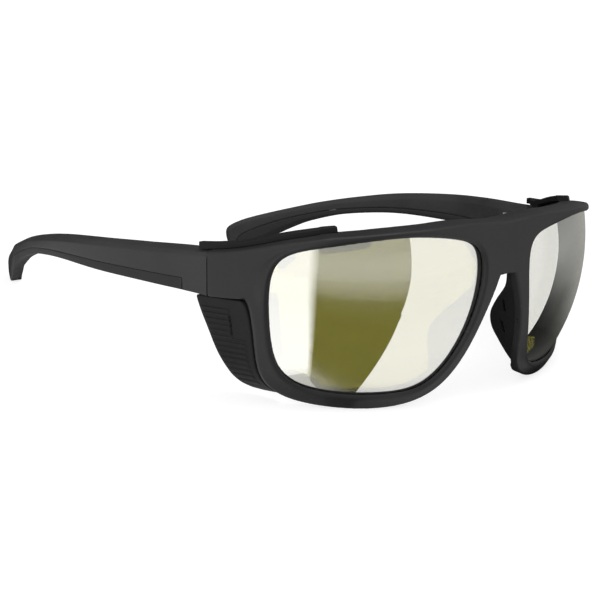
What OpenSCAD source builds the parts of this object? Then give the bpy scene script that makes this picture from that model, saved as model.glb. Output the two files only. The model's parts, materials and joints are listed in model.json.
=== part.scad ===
// Polarized sunglasses with side shields: a moulded front with two curved
// lenses, rubber nose pads, clip-in side shields and two folding temples.
// Worn frame: x runs to the wearer's left, y back towards the ears, z up.
// The lens fronts touch y = 0 and the middle of the lenses is at z = 0.
// The finished pair is tipped back until rims and temple tips stand on z = 0.

/* [Lenses] */
// Width of a lens opening
lens_w = 56.5; // [50:0.5:60]
// Height of a lens opening
lens_h = 42; // [36:0.5:46]
// Gap between the two lens openings across the nose
bridge_gap = 20; // [17:0.5:24]
// Radius of the front of a lens
lens_r = 61.5; // [59:0.5:80]
// Sideways place of a lens's centre of curvature
lens_cx = 16.8; // [12:0.2:20]
// Height of a lens's centre of curvature
lens_cz = 11.5; // [4:0.5:14]
// Thickness of a lens
lens_t = 2; // [1.6:0.1:2.6]
// How far the edge of a lens reaches into its groove
lens_grip = 1; // [0.6:0.1:1.2]
// Gap between a lens and its groove
lens_gap = 0.1; // [0.05:0.01:0.2]

/* [Front] */
// How far the rim stands in front of the lens
rim_front = 1.4; // [1:0.1:2]
// How far the rim reaches behind the lens front
rim_depth = 4.6; // [4:0.1:6]
// Bevel round the lens opening
rim_bevel = 0.7; // [0.4:0.1:1]
// Rounding of the outer edges of the rim
rim_round = 0.7; // [0.4:0.1:1]
// Depth of the brow bar from its front face
brow_depth = 8.4; // [7:0.2:10]
// Rise of the brow's top face behind the ridge
brow_rise = 0.6; // [0.3:0.1:1]
// Distance of the brow's crest behind the ridge
crest_back = 5; // [4:0.2:6]
// Height of the underside of the bridge
bridge_z = 7.7; // [5:0.1:10]
// How far the end pieces stand outside the lens openings
end_reach = 5; // [4:0.1:8]
// Length of the end pieces behind the lens openings
end_len = 14; // [12:0.5:18]
// Thickness of the end pieces at the hinge
end_t = 7.6; // [6.8:0.1:9]
// Height of the bottom of the end pieces
end_z = 5; // [4:0.1:7]
// Height of the ridge at the hinge
end_top = 16.7; // [15:0.1:18]
// How far the lens retaining tabs reach into the opening
tab_reach = 1.6; // [1:0.1:3]

/* [Temples] */
// Length from the hinge to the back of the bend
temple_len = 108; // [99:0.5:117]
// Gap between an end piece and its temple
hinge_gap = 0.15; // [0.1:0.01:0.3]
// Share of the temple's height that the grip strip takes at its front
grip_share_front = 0.31; // [0.2:0.01:0.4]
// Share of the temple's height that the grip strip takes in the hook
grip_share_back = 0.5; // [0.4:0.01:0.6]
// Distance from the hinge to the front of the grip strip
grip_start = 8.5; // [6:0.5:14]
// Gap between a temple and its grip strip
grip_gap = 0.05; // [0.02:0.01:0.1]

/* [Hinges] */
// Radius of the hinge barrels
barrel_r = 1.6; // [1.4:0.1:1.8]
// Radius of the pivot screws
pivot_r = 0.7; // [0.5:0.05:0.9]
// Running gap between a pivot screw and its barrels
pivot_gap = 0.05; // [0.02:0.01:0.1]
// Height of a hinge
hinge_h = 7.2; // [6:0.2:8]
// Gap between neighbouring barrels
barrel_gap = 0.1; // [0.05:0.01:0.2]
// Thickness of the hinge leaves
leaf_t = 1.2; // [1:0.1:1.5]
// Length of a front leaf
front_leaf = 4.6; // [4:0.1:5.5]
// Length of a temple leaf
temple_leaf = 6.4; // [5.5:0.1:8]
// Radius of the leaf screws
leaf_screw_r = 0.6; // [0.4:0.05:0.8]

/* [Nose pads] */
// Thickness of the rubber pads
pad_t = 1.6; // [1.2:0.1:2]
// Gap between a pad and its seat
pad_gap = 0.05; // [0.02:0.01:0.1]
// Length of the vent slots in a pad
slot_len = 3.5; // [2:0.1:4]
// Width of the vent slots in a pad
slot_w = 0.6; // [0.4:0.1:1]

/* [Side shields] */
// Thickness of the shield panels and walls
shield_t = 1.5; // [1.2:0.1:2]
// Height of the top of the shield panels
shield_top = 4.7; // [3.5:0.1:5]
// Height of the lower tip of the shield panels
shield_low = -21; // [-22:0.5:-19]
// How far the shield panels reach behind the hinge
shield_back = 7.1; // [6:0.1:9]
// Number of grip ribs on a panel
rib_count = 12; // [6:1:14]
// Height of the ribs
rib_h = 0.35; // [0.2:0.05:0.5]
// Thickness of the top wings
wing_t = 1.3; // [1:0.1:1.6]
// Gap between a shield and the front
shield_gap = 0.15; // [0.1:0.01:0.3]
// Seam between a shield panel and the rim
panel_seam = 0.45; // [0.2:0.05:0.6]

/* [Hidden] */

// Colours as the photograph shows them
frame_col = "#3c3a3b";
shield_col = "#262526";
rubber_col = "#1b1a1b";
lens_col = [0.80, 0.82, 0.45, 0.55];
steel_col = "#8c8f93";

// Stations round a lens opening and along the brow
ring_n = 60;
brow_n = 12;
end_n = 8;
round_fn = 48;

// Lens opening: control points of a closed curve, as shares of half its size
opening_shape = [
  [-1.01, 0.19], [-1.03, 0.76], [-0.67, 0.90], [0, 1], [0.65, 0.88], [0.97, 0.81],
  [0.99, 0.14], [0.83, -0.71], [0.44, -0.98], [-0.16, -1.05], [-0.60, -1.02], [-0.83, -0.52]
];
// What the rim adds to each of those points, in mm
rim_reach = [
  [-9, 7.5], [-9, 6], [-4.5, 3.5], [1.5, 1], [5.5, 2], [6, 0],
  [1.5, -1.5], [1.8, -3.1], [0.5, -3.5], [-4.5, -4.5], [-7.5, -0.5], [-5.5, 7]
];
lens_mid = bridge_gap / 2 + lens_w / 2;
opening_ctrl = [for (p = opening_shape) [lens_mid + p.x * lens_w / 2, p.y * lens_h / 2]];
rim_ctrl = [for (i = [0:len(rim_reach) - 1]) opening_ctrl[i] + rim_reach[i]];

// Point of a closed uniform cubic spline at t
function spline_at(c, t) =
  let (n = len(c), i = floor(t), u = t - i,
       a = c[(i + n - 1) % n], b = c[i % n], d = c[(i + 1) % n], e = c[(i + 2) % n])
  (pow(1 - u, 3) * a + (3 * pow(u, 3) - 6 * u * u + 4) * b
   + (-3 * pow(u, 3) + 3 * u * u + 3 * u + 1) * d + pow(u, 3) * e) / 6;
function closed_curve(c) = [for (k = [0:ring_n - 1]) spline_at(c, k * len(c) / ring_n)];

// Point at t of an open curve that passes through its points
function through(p, t) =
  let (n = len(p) - 1, i = min(floor(t), n - 1), u = t - i,
       a = p[max(i - 1, 0)], b = p[i], c = p[i + 1], d = p[min(i + 2, n)])
  b + u * (c - a) / 2 + u * u * (2 * a - 5 * b + 4 * c - d) / 2
  + u * u * u * (3 * b - a - 3 * c + d) / 2;
// Value at x of a smooth curve through pairs of x and value
function smooth_lookup(p, x) =
  let (i = max([0, for (k = [0:len(p) - 2]) if (x >= p[k].x) k]),
       u = (x - p[i].x) / (p[i + 1].x - p[i].x))
  through(p, i + u).y;

function unit(v) = v / norm(v);

opening = closed_curve(opening_ctrl);
rim_edge = closed_curve(rim_ctrl);
// Outward direction of the opening at each station
opening_out = [for (k = [0:ring_n - 1])
  let (d = unit(opening[(k + 1) % ring_n] - opening[(k + ring_n - 1) % ring_n])) [-d.y, d.x]];

// Point at height h over the lens front, or over the flat-bridged front
function ball_point(x, z, h, dx) =
  let (dz = z - lens_cz, q = sqrt(pow(lens_r, 2) - dx * dx - dz * dz))
  [x, lens_r - q, z] + h * [dx, -q, dz] / lens_r;
function over_lens(p, h) = ball_point(p.x, p.y, h, p.x - lens_cx);
function over_front(p, h) = ball_point(p.x, p.y, h, max(p.x - lens_cx, 0));

// Triangles across a ring of m points, from one side to the other
function cap_faces(m) = [for (i = [0:floor(m / 2) - 1]) each concat(
  i + 1 < m - 1 - i ? [[i, i + 1, m - 1 - i]] : [],
  i + 1 < m - 2 - i ? [[i + 1, m - 2 - i, m - 1 - i]] : [])];
// Triangles of a skin over n rings of m points, closed on itself or capped
function skin_faces(n, m, closed) = concat(
  [for (i = [0:(closed ? n - 1 : n - 2)], j = [0:m - 1])
    let (a = i * m + j, b = i * m + (j + 1) % m, c = ((i + 1) % n) * m + (j + 1) % m,
         d = ((i + 1) % n) * m + j) each [[a, b, c], [a, c, d]]],
  closed ? [] : [for (f = cap_faces(m)) [f[0], f[2], f[1]]],
  closed ? [] : [for (f = cap_faces(m)) [for (v = f) (n - 1) * m + v]]);
function skin_volume(p, faces) =
  let (v = [for (f = faces) p[f[0]] * cross(p[f[1]], p[f[2]])]) v * [for (f = faces) 1 / 6];
module skin(rings, closed = false) {
  points = [for (r = rings) each r];
  faces = skin_faces(len(rings), len(rings[0]), closed);
  outward = skin_volume(points, faces) < 0;
  polyhedron(points, outward ? faces : [for (f = faces) [f[0], f[2], f[1]]],
             convexity = 8);
}
module both_sides(side) {
  mirror([side < 0 ? 1 : 0, 0, 0]) children();
}

// Place of the hinge, found from the outer edge of the opening
opening_x = bridge_gap / 2 + lens_w;
hinge_x = opening_x + end_reach;
hinge_y = over_lens([opening_x, 0], 0).y + end_len;

// Brow: height of the ridge and of the bar's underside by sideways place; the places
// are those of an opening that ends at brow_ref, and move out with its end
brow_ref = 66.5;
function brow_places(rows) = [for (r = rows) [r[0] * opening_x / brow_ref, r[1]]];
ridge_pts = concat(
  brow_places([[0, 21.5], [16, 22.4], [28, 22.2], [40, 21.9], [48, 21.5], [54, 21.2], [58, 20.7],
               [62, 20], [65, 19.2], [68, 18]]),
  [[hinge_x, end_top], [hinge_x + 8, end_top - 0.4]]);
under_pts = concat(
  brow_places([[0, bridge_z], [4, bridge_z + 0.3], [8, 13], [12, 17.4], [16, 19.7], [22, 20.8],
               [40, 21], [50, 20.6], [56, 19.7], [62, 18.6], [65, 16], [67, 7.6], [68.6, 5.2]]),
  [[hinge_x, end_z], [hinge_x + 8, end_z]]);
// Where the bar leaves the lens's curve, inside the opening's outer end, and turns to the hinge
turn_in = 10.5;
turn_x = opening_x - turn_in;
turn_lead = 9;
hinge_lead = 9;
// Point of the bar's front face: e is 0 at the turn and 1 at the hinge
function turn_point(e, z) =
  let (p0 = over_front([turn_x, z], rim_front),
       n = unit([turn_x - lens_cx, over_front([turn_x, z], 0).y - lens_r]),
       p3 = [hinge_x, hinge_y],
       p1 = [p0.x, p0.y] + turn_lead * [-n.y, n.x],
       p2 = p3 - [0.6, hinge_lead], u = 1 - e)
  u * u * u * [p0.x, p0.y] + 3 * u * u * e * p1 + 3 * u * e * e * p2 + e * e * e * p3;
function turn_normal(e, z) =
  e > 0.99 ? [1, 0]
  : let (d = unit(turn_point(e + 0.01, z) - turn_point(max(e - 0.01, 0), z))) [d.y, -d.x];
// Point at depth d behind the bar's front face, at plan station s (1 is the turn, 2 the hinge)
function bar_point(s, z, d) =
  s <= 1 ? let (p = over_front([s * turn_x, z], rim_front), n = unit([max(p.x - lens_cx, 0), p.y - lens_r]))
    [p.x - d * n.x, p.y - d * n.y, z]
  : let (e = min(s - 1, 1), p = turn_point(e, z) - d * turn_normal(e, z),
         tail = max(s - 2, 0) * end_len)
    [p.x, p.y + tail, z];
function station_x(s) = s <= 1 ? s * turn_x : turn_point(min(s - 1, 1), end_top).x;
function crest_z(s) =
  let (x = station_x(s), share = max(min(s - 1, 1), 0))
  smooth_lookup(ridge_pts, x) + brow_rise * (1 + 0.3 * share);

function bar_ring(s) =
  let (x = station_x(s), zr = smooth_lookup(ridge_pts, x), zc = crest_z(s),
       zb = smooth_lookup(under_pts, x), share = max(min(s - 1, 1), 0),
       depth = brow_depth + (end_t - brow_depth) * share, e = min(rim_round, (zr - zb) * 0.3))
  [bar_point(s, zb + e, 0), bar_point(s, zr - 0.4, 0), bar_point(s, zr, 0.35),
   bar_point(s, zc, crest_back), bar_point(s, zc - 0.1, depth - e),
   bar_point(s, zc - 0.1 - e, depth), bar_point(s, zb + e, depth),
   bar_point(s, zb, depth - e), bar_point(s, zb, e)];
bar_half = [for (i = [0:brow_n - 1]) bar_ring(i / brow_n), for (i = [0:end_n]) bar_ring(1 + i / end_n)];

// The rim's outer wall leaves the lens's radius and turns towards straight back
wall_turn = 0.65;
function back_dir(p) =
  let (n = over_front(p, 0) - over_front(p, 1)) unit((1 - wall_turn) * n + [0, wall_turn, 0]);
// Depth of the rim's outer wall behind the nose pad, at the bottom and behind the side shield
nose_seat = 2.2;
low_seat = 3.6;
panel_seat = 1.3;
function wall_depth(out) =
  lookup(out.x, [[-0.2, nose_seat], [0.05, low_seat], [0.3, low_seat], [0.6, panel_seat]]);
// Outside the turn the rim's front runs into the end piece's face
function turn_share(x, z) = lookup(x, [for (i = [0:10]) [turn_point(i / 10, z).x, i / 10]]);
function rim_point(p, h) =
  let (v = p.x > turn_x ? min(max((p.y + 1) / 8, 0), 1) : 0, w = v * v * (3 - 2 * v))
  w == 0 ? over_front(p, h)
  : (1 - w) * over_front(p, h) + w * bar_point(1 + turn_share(p.x, p.y), p.y, rim_front + 0.15 - h);
function rim_ring(k) =
  let (a = opening[k], o = rim_edge[k], out = opening_out[k], w = norm(o - a),
       across = (o - a) / w, e = min(rim_round, w * 0.3), wall = rim_point(o, rim_front - e),
       deep = wall_depth(out), seat = min(shield_t + 0.3, w * 0.5),
       foot = wall + back_dir(o) * (deep - 0.4 * e))
  [over_front(a, rim_front - rim_bevel), over_front(a + rim_bevel * out, rim_front),
   rim_point(o - e * across, rim_front), wall, foot, foot - seat * [across.x, 0, across.y],
   over_front(a + e * out, -rim_depth), over_front(a, e - rim_depth)];
rim_rings = [for (k = [0:ring_n - 1]) rim_ring(k)];

// Nose: height, then sideways and depth of the front and of the back edge of a pad
nose_rows = [
  [6.6, 5.2, 2.6, 7.2, 5.2], [2.5, 6.9, 1.9, 9.8, 7.8], [-2, 8.1, 1.8, 11.6, 12.2],
  [-6, 9.3, 2.3, 13.1, 15.3], [-10, 11.0, 3.5, 13.9, 15.5], [-14, 13.2, 5.2, 15.3, 14.1],
  [-17.5, 15.8, 7.4, 17, 12.9], [-19.8, 17.9, 9.1, 18.6, 12.3]
];
nose_n = 15;
// Blade along the nose: moved out by inset, thick, grown all round and cut short at its back
function nose_ring(t, inset, thick, grow, shorten) =
  let (r = through(nose_rows, t), f = [r[1], r[2]], b = [r[3], r[4]], d = unit(b - f),
       n = [d.y, -d.x], z = r[0] + (t < 0.01 ? grow : 0) - (t > len(nose_rows) - 1.01 ? grow : 0),
       f0 = f + n * (inset - grow) - d * grow, b0 = b + n * (inset - grow) + d * (grow - shorten),
       w = thick + 2 * grow)
  [for (p = [f0 + n * w * 0.25, f0 + d * w * 0.25, b0 - d * w * 0.3, b0 + n * w * 0.3,
             b0 + n * w * 0.7, b0 - d * w * 0.3 + n * w, f0 + d * w * 0.25 + n * w,
             f0 + n * w * 0.75]) [p.x, p.y, z]];
module nose_blade(inset, thick, grow = 0, shorten = 0) {
  skin([for (i = [0:nose_n])
    nose_ring(i * (len(nose_rows) - 1) / nose_n, inset, thick, grow, shorten)]);
}

// Lens: rings of the outline drawn in towards its middle, on two balls of one centre
lens_rings = [1, 0.75, 0.45, 0.04];
module lens_body(grow) {
  outline = [for (k = [0:ring_n - 1]) opening[k] + (lens_grip + grow) * opening_out[k]];
  middle = [lens_mid, 0];
  function layer(h) = [for (s = lens_rings) [for (p = outline) over_lens(middle + s * (p - middle), h)]];
  front = layer(grow);
  back = layer(-lens_t - grow);
  skin(concat([for (i = [len(front) - 1:-1:0]) front[i]], back));
}

// Lens retaining tabs: shares of the way round the opening where each begins and ends
tab_shares = [[0.285, 0.345], [0.385, 0.43], [0.475, 0.57], [0.6, 0.655]];
tab_spans = [for (t = tab_shares) [round(t.x * ring_n), round(t.y * ring_n)]];
tab_t = 1.4;
tab_gap = 0.2;
module lens_tab(span) {
  hull() for (k = span, reach = [-tab_reach, lens_grip], h = [-lens_t - tab_gap, -lens_t - tab_gap - tab_t])
    translate(over_lens(opening[k] + reach * opening_out[k], h)) cube(0.1, center = true);
}

hinge_z = end_z + 2.4;
leaf_x = hinge_x - end_t;
pocket_gap = 0.1;
pocket_t = 4;
module front_half() {
  skin(rim_rings, closed = true);
  nose_blade(pad_t, 1.75, shorten = 3);
  for (span = tab_spans) lens_tab(span);
}
module front_frame() {
  color(frame_col) place() difference() {
    union() {
      for (side = [-1, 1]) both_sides(side) front_half();
      skin(concat([for (i = [len(bar_half) - 1:-1:1]) [for (p = bar_half[i]) [-p.x, p.y, p.z]]],
                  bar_half));
    }
    for (side = [-1, 1]) both_sides(side) {
      lens_body(lens_gap);
      nose_blade(0, pad_t, grow = pad_gap);
      translate([leaf_x - pocket_t, hinge_y - front_leaf - barrel_r - 0.5, hinge_z - pocket_gap])
        cube([pocket_t, front_leaf + barrel_r + 1, hinge_h + 2 * pocket_gap]);
    }
  }
}
module lens(side) {
  color(lens_col) place() both_sides(side) lens_body(0);
}
// Vent slots of a pad: heights of their middles, and their share of the way to the pad's back
slot_z = [-3.2, -9.4];
slot_share = 0.56;
module pad_slot(z) {
  t = lookup(-z, [for (i = [0:len(nose_rows) - 1]) [-nose_rows[i][0], i]]);
  r = through(nose_rows, t);
  across = [r[3] - r[1], r[4] - r[2]];
  translate([r[1] + slot_share * across.x, r[2] + slot_share * across.y, z])
    rotate([0, 0, atan2(across.y, across.x)]) cube([slot_w, 3 * pad_t, slot_len], center = true);
}
module nose_pad(side) {
  color(rubber_col) place() both_sides(side) difference() {
    nose_blade(0, pad_t);
    for (z = slot_z) pad_slot(z);
  }
}

// Temple: outer and inner sideways place from the hinge, by share of its length
bow_out = [[0, 0], [0.16, 4], [0.34, 5], [0.53, 1.5], [0.70, -5.5], [0.88, -14.5], [1.01, -23.2]];
bow_in = [[0, -end_t], [0.03, -end_t + 0.06], [0.06, -end_t + 0.2], [0.09, -end_t + 0.6],
          [0.13, -end_t + 1.9], [0.2, -3.2], [0.34, -1], [0.53, -3.6], [0.70, -10], [0.88, -18.8],
          [1.01, -27.2]];
// Side view: depth and height of the top edge, then of the bottom edge, from the hinge
side_rows = [
  [0, end_top - 0.4, 0, end_z + 0.2], [17, 16.6, 17, 7.3], [36, 16.5, 36, 8.8],
  [55, 15.6, 54, 9.8], [69, 13.9, 66, 9.4], [81, 11.8, 76.5, 8.1], [91, 9.3, 86, 5.7],
  [100.8, 6, 94, 2.5], [107, 2.4, 100, -0.8], [107.9, -1.5, 103.2, -3.1], [106.6, -4, 104.4, -4.2]
];
side_ref = 108;
temple_n = 32;
function temple_y(y) = hinge_y + hinge_gap + y * temple_len / side_ref;
function side_at(t) = let (r = through(side_rows, t)) [[r[0], r[1]], [r[2], r[3]]];
last_row = len(side_rows) - 1;
function grip_share(t) =
  grip_share_front + (grip_share_back - grip_share_front) * min(max((t - 3) / 4, 0), 1);
// Ring of a temple slice between shares lo and hi of its height, with a crowned top or a flat one
function temple_ring(t, lo, hi, crown) =
  let (s = side_at(t), bottom = s[1] + lo * (s[0] - s[1]), top = s[1] + hi * (s[0] - s[1]),
       up = top - bottom, h = norm(up), r = min(1.1, h * 0.3))
  [for (c = [[0, 0], [0, r / h], [0, 1 - r / h * crown], [0.14, 1], [0.5, 1 + 0.7 * crown / h],
             [0.86, 1 + 0.5 * crown / h], [1, 1 - r / h], [1, r / h], [0.86, 0], [0.14, 0]])
    let (q = bottom + c[1] * up, f = q.x / side_ref,
         a = smooth_lookup(bow_out, f), b = smooth_lookup(bow_in, f))
    [hinge_x + a + c[0] * (b - a), temple_y(q.x), q.y]];
// Station on the side view where the grip strip begins
grip_t0 = grip_start / 17;
function temple_low(t) = t < grip_t0 ? 0 : grip_share(t);
temple_stations = concat([0, grip_t0 / 2, grip_t0 - 0.02],
  [for (i = [0:temple_n]) grip_t0 + 0.04 + i * (last_row - grip_t0 - 0.04) / temple_n]);
module temple(side) {
  color(frame_col) place() both_sides(side)
    skin([for (t = temple_stations) temple_ring(t, temple_low(t), 1, 1)]);
}
module temple_grip(side) {
  color(rubber_col) place() both_sides(side)
    skin([for (i = [0:temple_n])
      let (t = grip_t0 + 0.05 + i * (last_row - 0.02 - grip_t0 - 0.05) / temple_n,
           s = side_at(t), h = norm(s[0] - s[1]))
      temple_ring(t, 0, grip_share(t) - grip_gap / h, 0)]);
}

// Hinge: barrels stand inside the temple, on the plane of the joint
pivot_x = leaf_x - barrel_r - 0.2;
barrel_h = hinge_h / 3;
module barrel(level, height) {
  translate([pivot_x, hinge_y, level]) cylinder(r = barrel_r, h = height, $fn = round_fn);
}
module pivot_hole() {
  translate([pivot_x, hinge_y, hinge_z - 1])
    cylinder(r = pivot_r + pivot_gap, h = hinge_h + 2, $fn = round_fn);
}
module leaf_holes(y) {
  for (z = [hinge_z + hinge_h * 0.25, hinge_z + hinge_h * 0.75])
    translate([leaf_x - leaf_t - 1, y, z]) rotate([0, 90, 0])
      cylinder(r = leaf_screw_r + pivot_gap, h = leaf_t + 2, $fn = round_fn);
}
front_leaf_y = hinge_y - barrel_r - front_leaf / 2 - 0.2;
temple_leaf_y = hinge_y + barrel_r + temple_leaf / 2 + 0.3;
module front_hinge(side) {
  color(steel_col) place() both_sides(side) difference() {
    union() {
      translate([leaf_x - leaf_t, hinge_y - barrel_r - front_leaf - 0.2, hinge_z])
        cube([leaf_t, front_leaf, hinge_h]);
      for (z = [hinge_z, hinge_z + 2 * barrel_h + barrel_gap]) {
        barrel(z, barrel_h - barrel_gap);
        translate([pivot_x, hinge_y - barrel_r - 0.7, z])
          cube([leaf_x - pivot_x, barrel_r + 0.7, barrel_h - barrel_gap]);
      }
    }
    pivot_hole();
    leaf_holes(front_leaf_y);
  }
}
module temple_hinge(side) {
  color(steel_col) place() both_sides(side) difference() {
    union() {
      translate([leaf_x - leaf_t, hinge_y + barrel_r + 0.3, hinge_z])
        cube([leaf_t, temple_leaf, hinge_h]);
      barrel(hinge_z + barrel_h, barrel_h);
      translate([pivot_x, hinge_y, hinge_z + barrel_h])
        cube([leaf_x - 0.05 - pivot_x, barrel_r + 0.8, barrel_h]);
    }
    pivot_hole();
    leaf_holes(temple_leaf_y);
  }
}
screw_head_h = 0.6;
module hinge_screw(side) {
  color(steel_col) place() both_sides(side) translate([pivot_x, hinge_y, hinge_z]) {
    difference() {
      union() {
        translate([0, 0, -0.3]) cylinder(r = pivot_r, h = hinge_h + 0.3 + barrel_gap, $fn = round_fn);
        translate([0, 0, hinge_h + 0.02]) cylinder(r = barrel_r - 0.3, h = screw_head_h, $fn = round_fn);
      }
      translate([-barrel_r, -0.2, hinge_h + screw_head_h * 0.6]) cube([2 * barrel_r, 0.4, 1]);
    }
  }
}
module leaf_screws(side, y) {
  color(steel_col) place() both_sides(side)
    for (z = [hinge_z + hinge_h * 0.25, hinge_z + hinge_h * 0.75])
      translate([leaf_x - leaf_t, y, z]) rotate([0, 90, 0]) {
        translate([0, 0, -0.02]) cylinder(r = leaf_screw_r, h = leaf_t + 3, $fn = round_fn);
        difference() {
          translate([0, 0, -0.45]) cylinder(r = leaf_screw_r + 0.45, h = 0.43, $fn = round_fn);
          translate([-2, -0.15, -1.2]) cube([4, 0.3, 0.9]);
        }
      }
}

// Side shield: the panel's front edge follows the rim's outer wall
rim_side = [for (k = [round(ring_n * 0.66):-1:round(ring_n * 0.44)])
  let (p = over_front(rim_edge[k], rim_front - rim_round)
           + back_dir(rim_edge[k]) * wall_depth(opening_out[k]))
  [p.z, p.x, p.y]];
function rim_side_x(z) = lookup(z, [for (p = rim_side) [p[0], p[1]]]);
function rim_side_y(z) = lookup(z, [for (p = rim_side) [p[0], p[2]]]);
// Back edge of the panel: height as a share of its depth below z = 0, and place behind the hinge
back_rows = [
  [-1, -9], [-0.99, -6.2], [-0.962, -3], [-0.905, -0.6], [-0.81, 0.9], [-0.676, 2],
  [-0.524, 3.15], [-0.38, 4], [-0.214, 4.9], [0.01, 6.3], [0.19, 7.1], [0.3, 7.4]
];
back_ref = 7.1;
function panel_back(z) =
  hinge_y + smooth_lookup(back_rows, -z / shield_low) * shield_back / back_ref;
function corner_cut(drop, r) = drop >= r ? 0 : r - sqrt(max(r * r - pow(r - drop, 2), 0));
rib_pitch = 1.5;
rib_top = shield_top - 4;
// The seam widens towards the end piece
seam_rise = 0.09;
function panel_ring(z, raise) =
  let (yf = rim_side_y(z) + panel_seam + max(z, 0) * seam_rise + corner_cut(shield_top - z, 2),
       yb = max(panel_back(z) - corner_cut(shield_top - z, 1.4), yf + 0.8),
       x0 = rim_side_x(z), edge = min(0.8, (yb - yf) / 3))
  [[x0 - 0.3, yf, z], [x0 + raise, yf + edge, z], [x0 + raise, yb - edge, z], [x0 - 0.3, yb, z],
   [x0 - shield_t, yb, z], [x0 - shield_t, yf, z]];
rib_rows = [for (i = [0:rib_count - 1], f = [0.2, 0.3, 0.7, 0.8])
  [rib_top - (i + f) * rib_pitch, f > 0.25 && f < 0.75 ? rib_h : 0]];
panel_rows = concat(
  [for (d = [0, 0.3, 0.8, 1.4, 2.2, 3.2]) [shield_top - d, 0]],
  [for (r = rib_rows) if (r[0] > shield_low + 3) r],
  [for (d = [2.6, 1.8, 1.2, 0.7, 0.3, 0.1, 0]) [shield_low + d, 0]]);
module shield_panel() {
  skin([for (i = [len(panel_rows) - 1:-1:0]) panel_ring(panel_rows[i][0], panel_rows[i][1])]);
}
// Wing on the brow, wall inside the end piece and shelf under it
wing_from = 0.93;
wing_to = 2.27;
wing_n = 12;
// Depths of the wing's outer and inner edge behind the front face along the brow
wing_edge = [[0.9, 5.7], [1.05, 5], [1.3, 4.2], [1.65, 3.2], [2, 2], [2.3, 0.9]];
wing_inner = [[0.9, 8.6], [1.1, 9.6], [1.4, 10], [1.7, 9.6], [1.9, 7.4], [2.1, 4.6], [2.3, 2.8]];
// Height of the brow's top face at depth d, which falls from the crest to the ridge
function top_z(s, d) =
  let (e = min(s, 2), zr = smooth_lookup(ridge_pts, station_x(e)))
  zr + (crest_z(e) - zr) * min(d / crest_back, 1);
function wing_ring(s) =
  let (z = crest_z(min(s, 2)) + shield_gap,
       d0 = smooth_lookup(wing_edge, s), d1 = smooth_lookup(wing_inner, s),
       dm = max(min(crest_back, d1 - 1), d0 + 0.4))
  [bar_point(s, top_z(s, d0) + shield_gap + 0.2, d0), bar_point(s, z + wing_t - 0.3, d0),
   bar_point(s, z + wing_t, d0 + 0.4), bar_point(s, z + wing_t, d1), bar_point(s, z, d1),
   bar_point(s, max(top_z(s, dm), top_z(s, d0)) + shield_gap, dm),
   bar_point(s, top_z(s, d0 + 0.3) + shield_gap, d0 + 0.3)];
function wall_ring(s) =
  let (z1 = crest_z(s) + shield_gap + 0.4, d0 = brow_depth + shield_gap, d1 = d0 + shield_t * 0.8)
  [bar_point(s, shield_top - shield_t, d0), bar_point(s, z1, d0), bar_point(s, z1, d1),
   bar_point(s, shield_top - shield_t, d1)];
function shelf_ring(s) =
  let (z0 = shield_top - shield_t, z1 = shield_top, d1 = brow_depth + shield_gap + shield_t * 0.8)
  [bar_point(s, z0, 2.6), bar_point(s, z1, 2.6), bar_point(s, z1, d1), bar_point(s, z0, d1)];
wall_from = 1.62;
wall_to = 1.72;
module side_shield(side) {
  color(shield_col) place() both_sides(side) union() {
    shield_panel();
    skin([for (i = [0:wing_n]) wing_ring(wing_from + i * (wing_to - wing_from) / wing_n)]);
    skin([for (i = [0:6]) wall_ring(wall_from + i * (wall_to - wall_from) / 6)]);
    skin([for (i = [0:6]) shelf_ring(wall_from + i * (wall_to - wall_from) / 6)]);
  }
}

// Resting place: rims and temple tips stand on z = 0, the middle is at y = 0
lowest_rim = min([for (r = rim_rings, p = r) p.z]);
rim_foot = [for (r = rim_rings, p = r) if (p.z < lowest_rim + 0.001) [p.y, p.z]][0];
tip_ring = temple_ring(last_row, temple_low(last_row), 1, 1);
grip_tip = temple_ring(last_row - 0.02, 0, grip_share_back, 0);
tip_points = concat(tip_ring, grip_tip);
lowest_tip = min([for (p = tip_points) p.z]);
tip_foot = [for (p = tip_points) if (p.z < lowest_tip + 0.001) [p.y, p.z]][0];
rest_pitch = atan2(tip_foot.y - rim_foot.y, tip_foot.x - rim_foot.x);
function tipped(p) = [p.x, p.y * cos(rest_pitch) + p.z * sin(rest_pitch),
                      -p.y * sin(rest_pitch) + p.z * cos(rest_pitch)];
rim_tipped = [for (r = rim_rings, p = r) tipped(p)];
temple_tipped = [for (t = temple_stations, p = temple_ring(t, temple_low(t), 1, 1)) tipped(p)];
lift = -min(min([for (p = rim_tipped) p.z]), min([for (p = temple_tipped) p.z]),
            min([for (p = grip_tip) tipped(p).z]));
set_y = -(min([for (p = rim_tipped) p.y]) + max([for (p = temple_tipped) p.y])) / 2;
module place() {
  translate([0, set_y, lift]) rotate([-rest_pitch, 0, 0]) children();
}
echo(pitch = rest_pitch, lift = lift, set_y = set_y);
echo(pivot = tipped([pivot_x, hinge_y, hinge_z + hinge_h / 2]) + [0, set_y, lift]);

front_frame();
lens(1);  // left_lens
lens(-1);  // right_lens
nose_pad(1);  // left_nose_pad
nose_pad(-1);  // right_nose_pad
side_shield(1);  // left_side_shield
side_shield(-1);  // right_side_shield
front_hinge(1);  // left_front_hinge
front_hinge(-1);  // right_front_hinge
temple_hinge(1);  // left_temple_hinge
temple_hinge(-1);  // right_temple_hinge
hinge_screw(1);  // left_hinge_screw
hinge_screw(-1);  // right_hinge_screw
leaf_screws(1, front_leaf_y);  // left_front_leaf_screws
leaf_screws(-1, front_leaf_y);  // right_front_leaf_screws
leaf_screws(1, temple_leaf_y);  // left_temple_leaf_screws
leaf_screws(-1, temple_leaf_y);  // right_temple_leaf_screws
temple(1);  // left_temple
temple(-1);  // right_temple
temple_grip(1);  // left_temple_grip
temple_grip(-1);  // right_temple_grip
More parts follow.
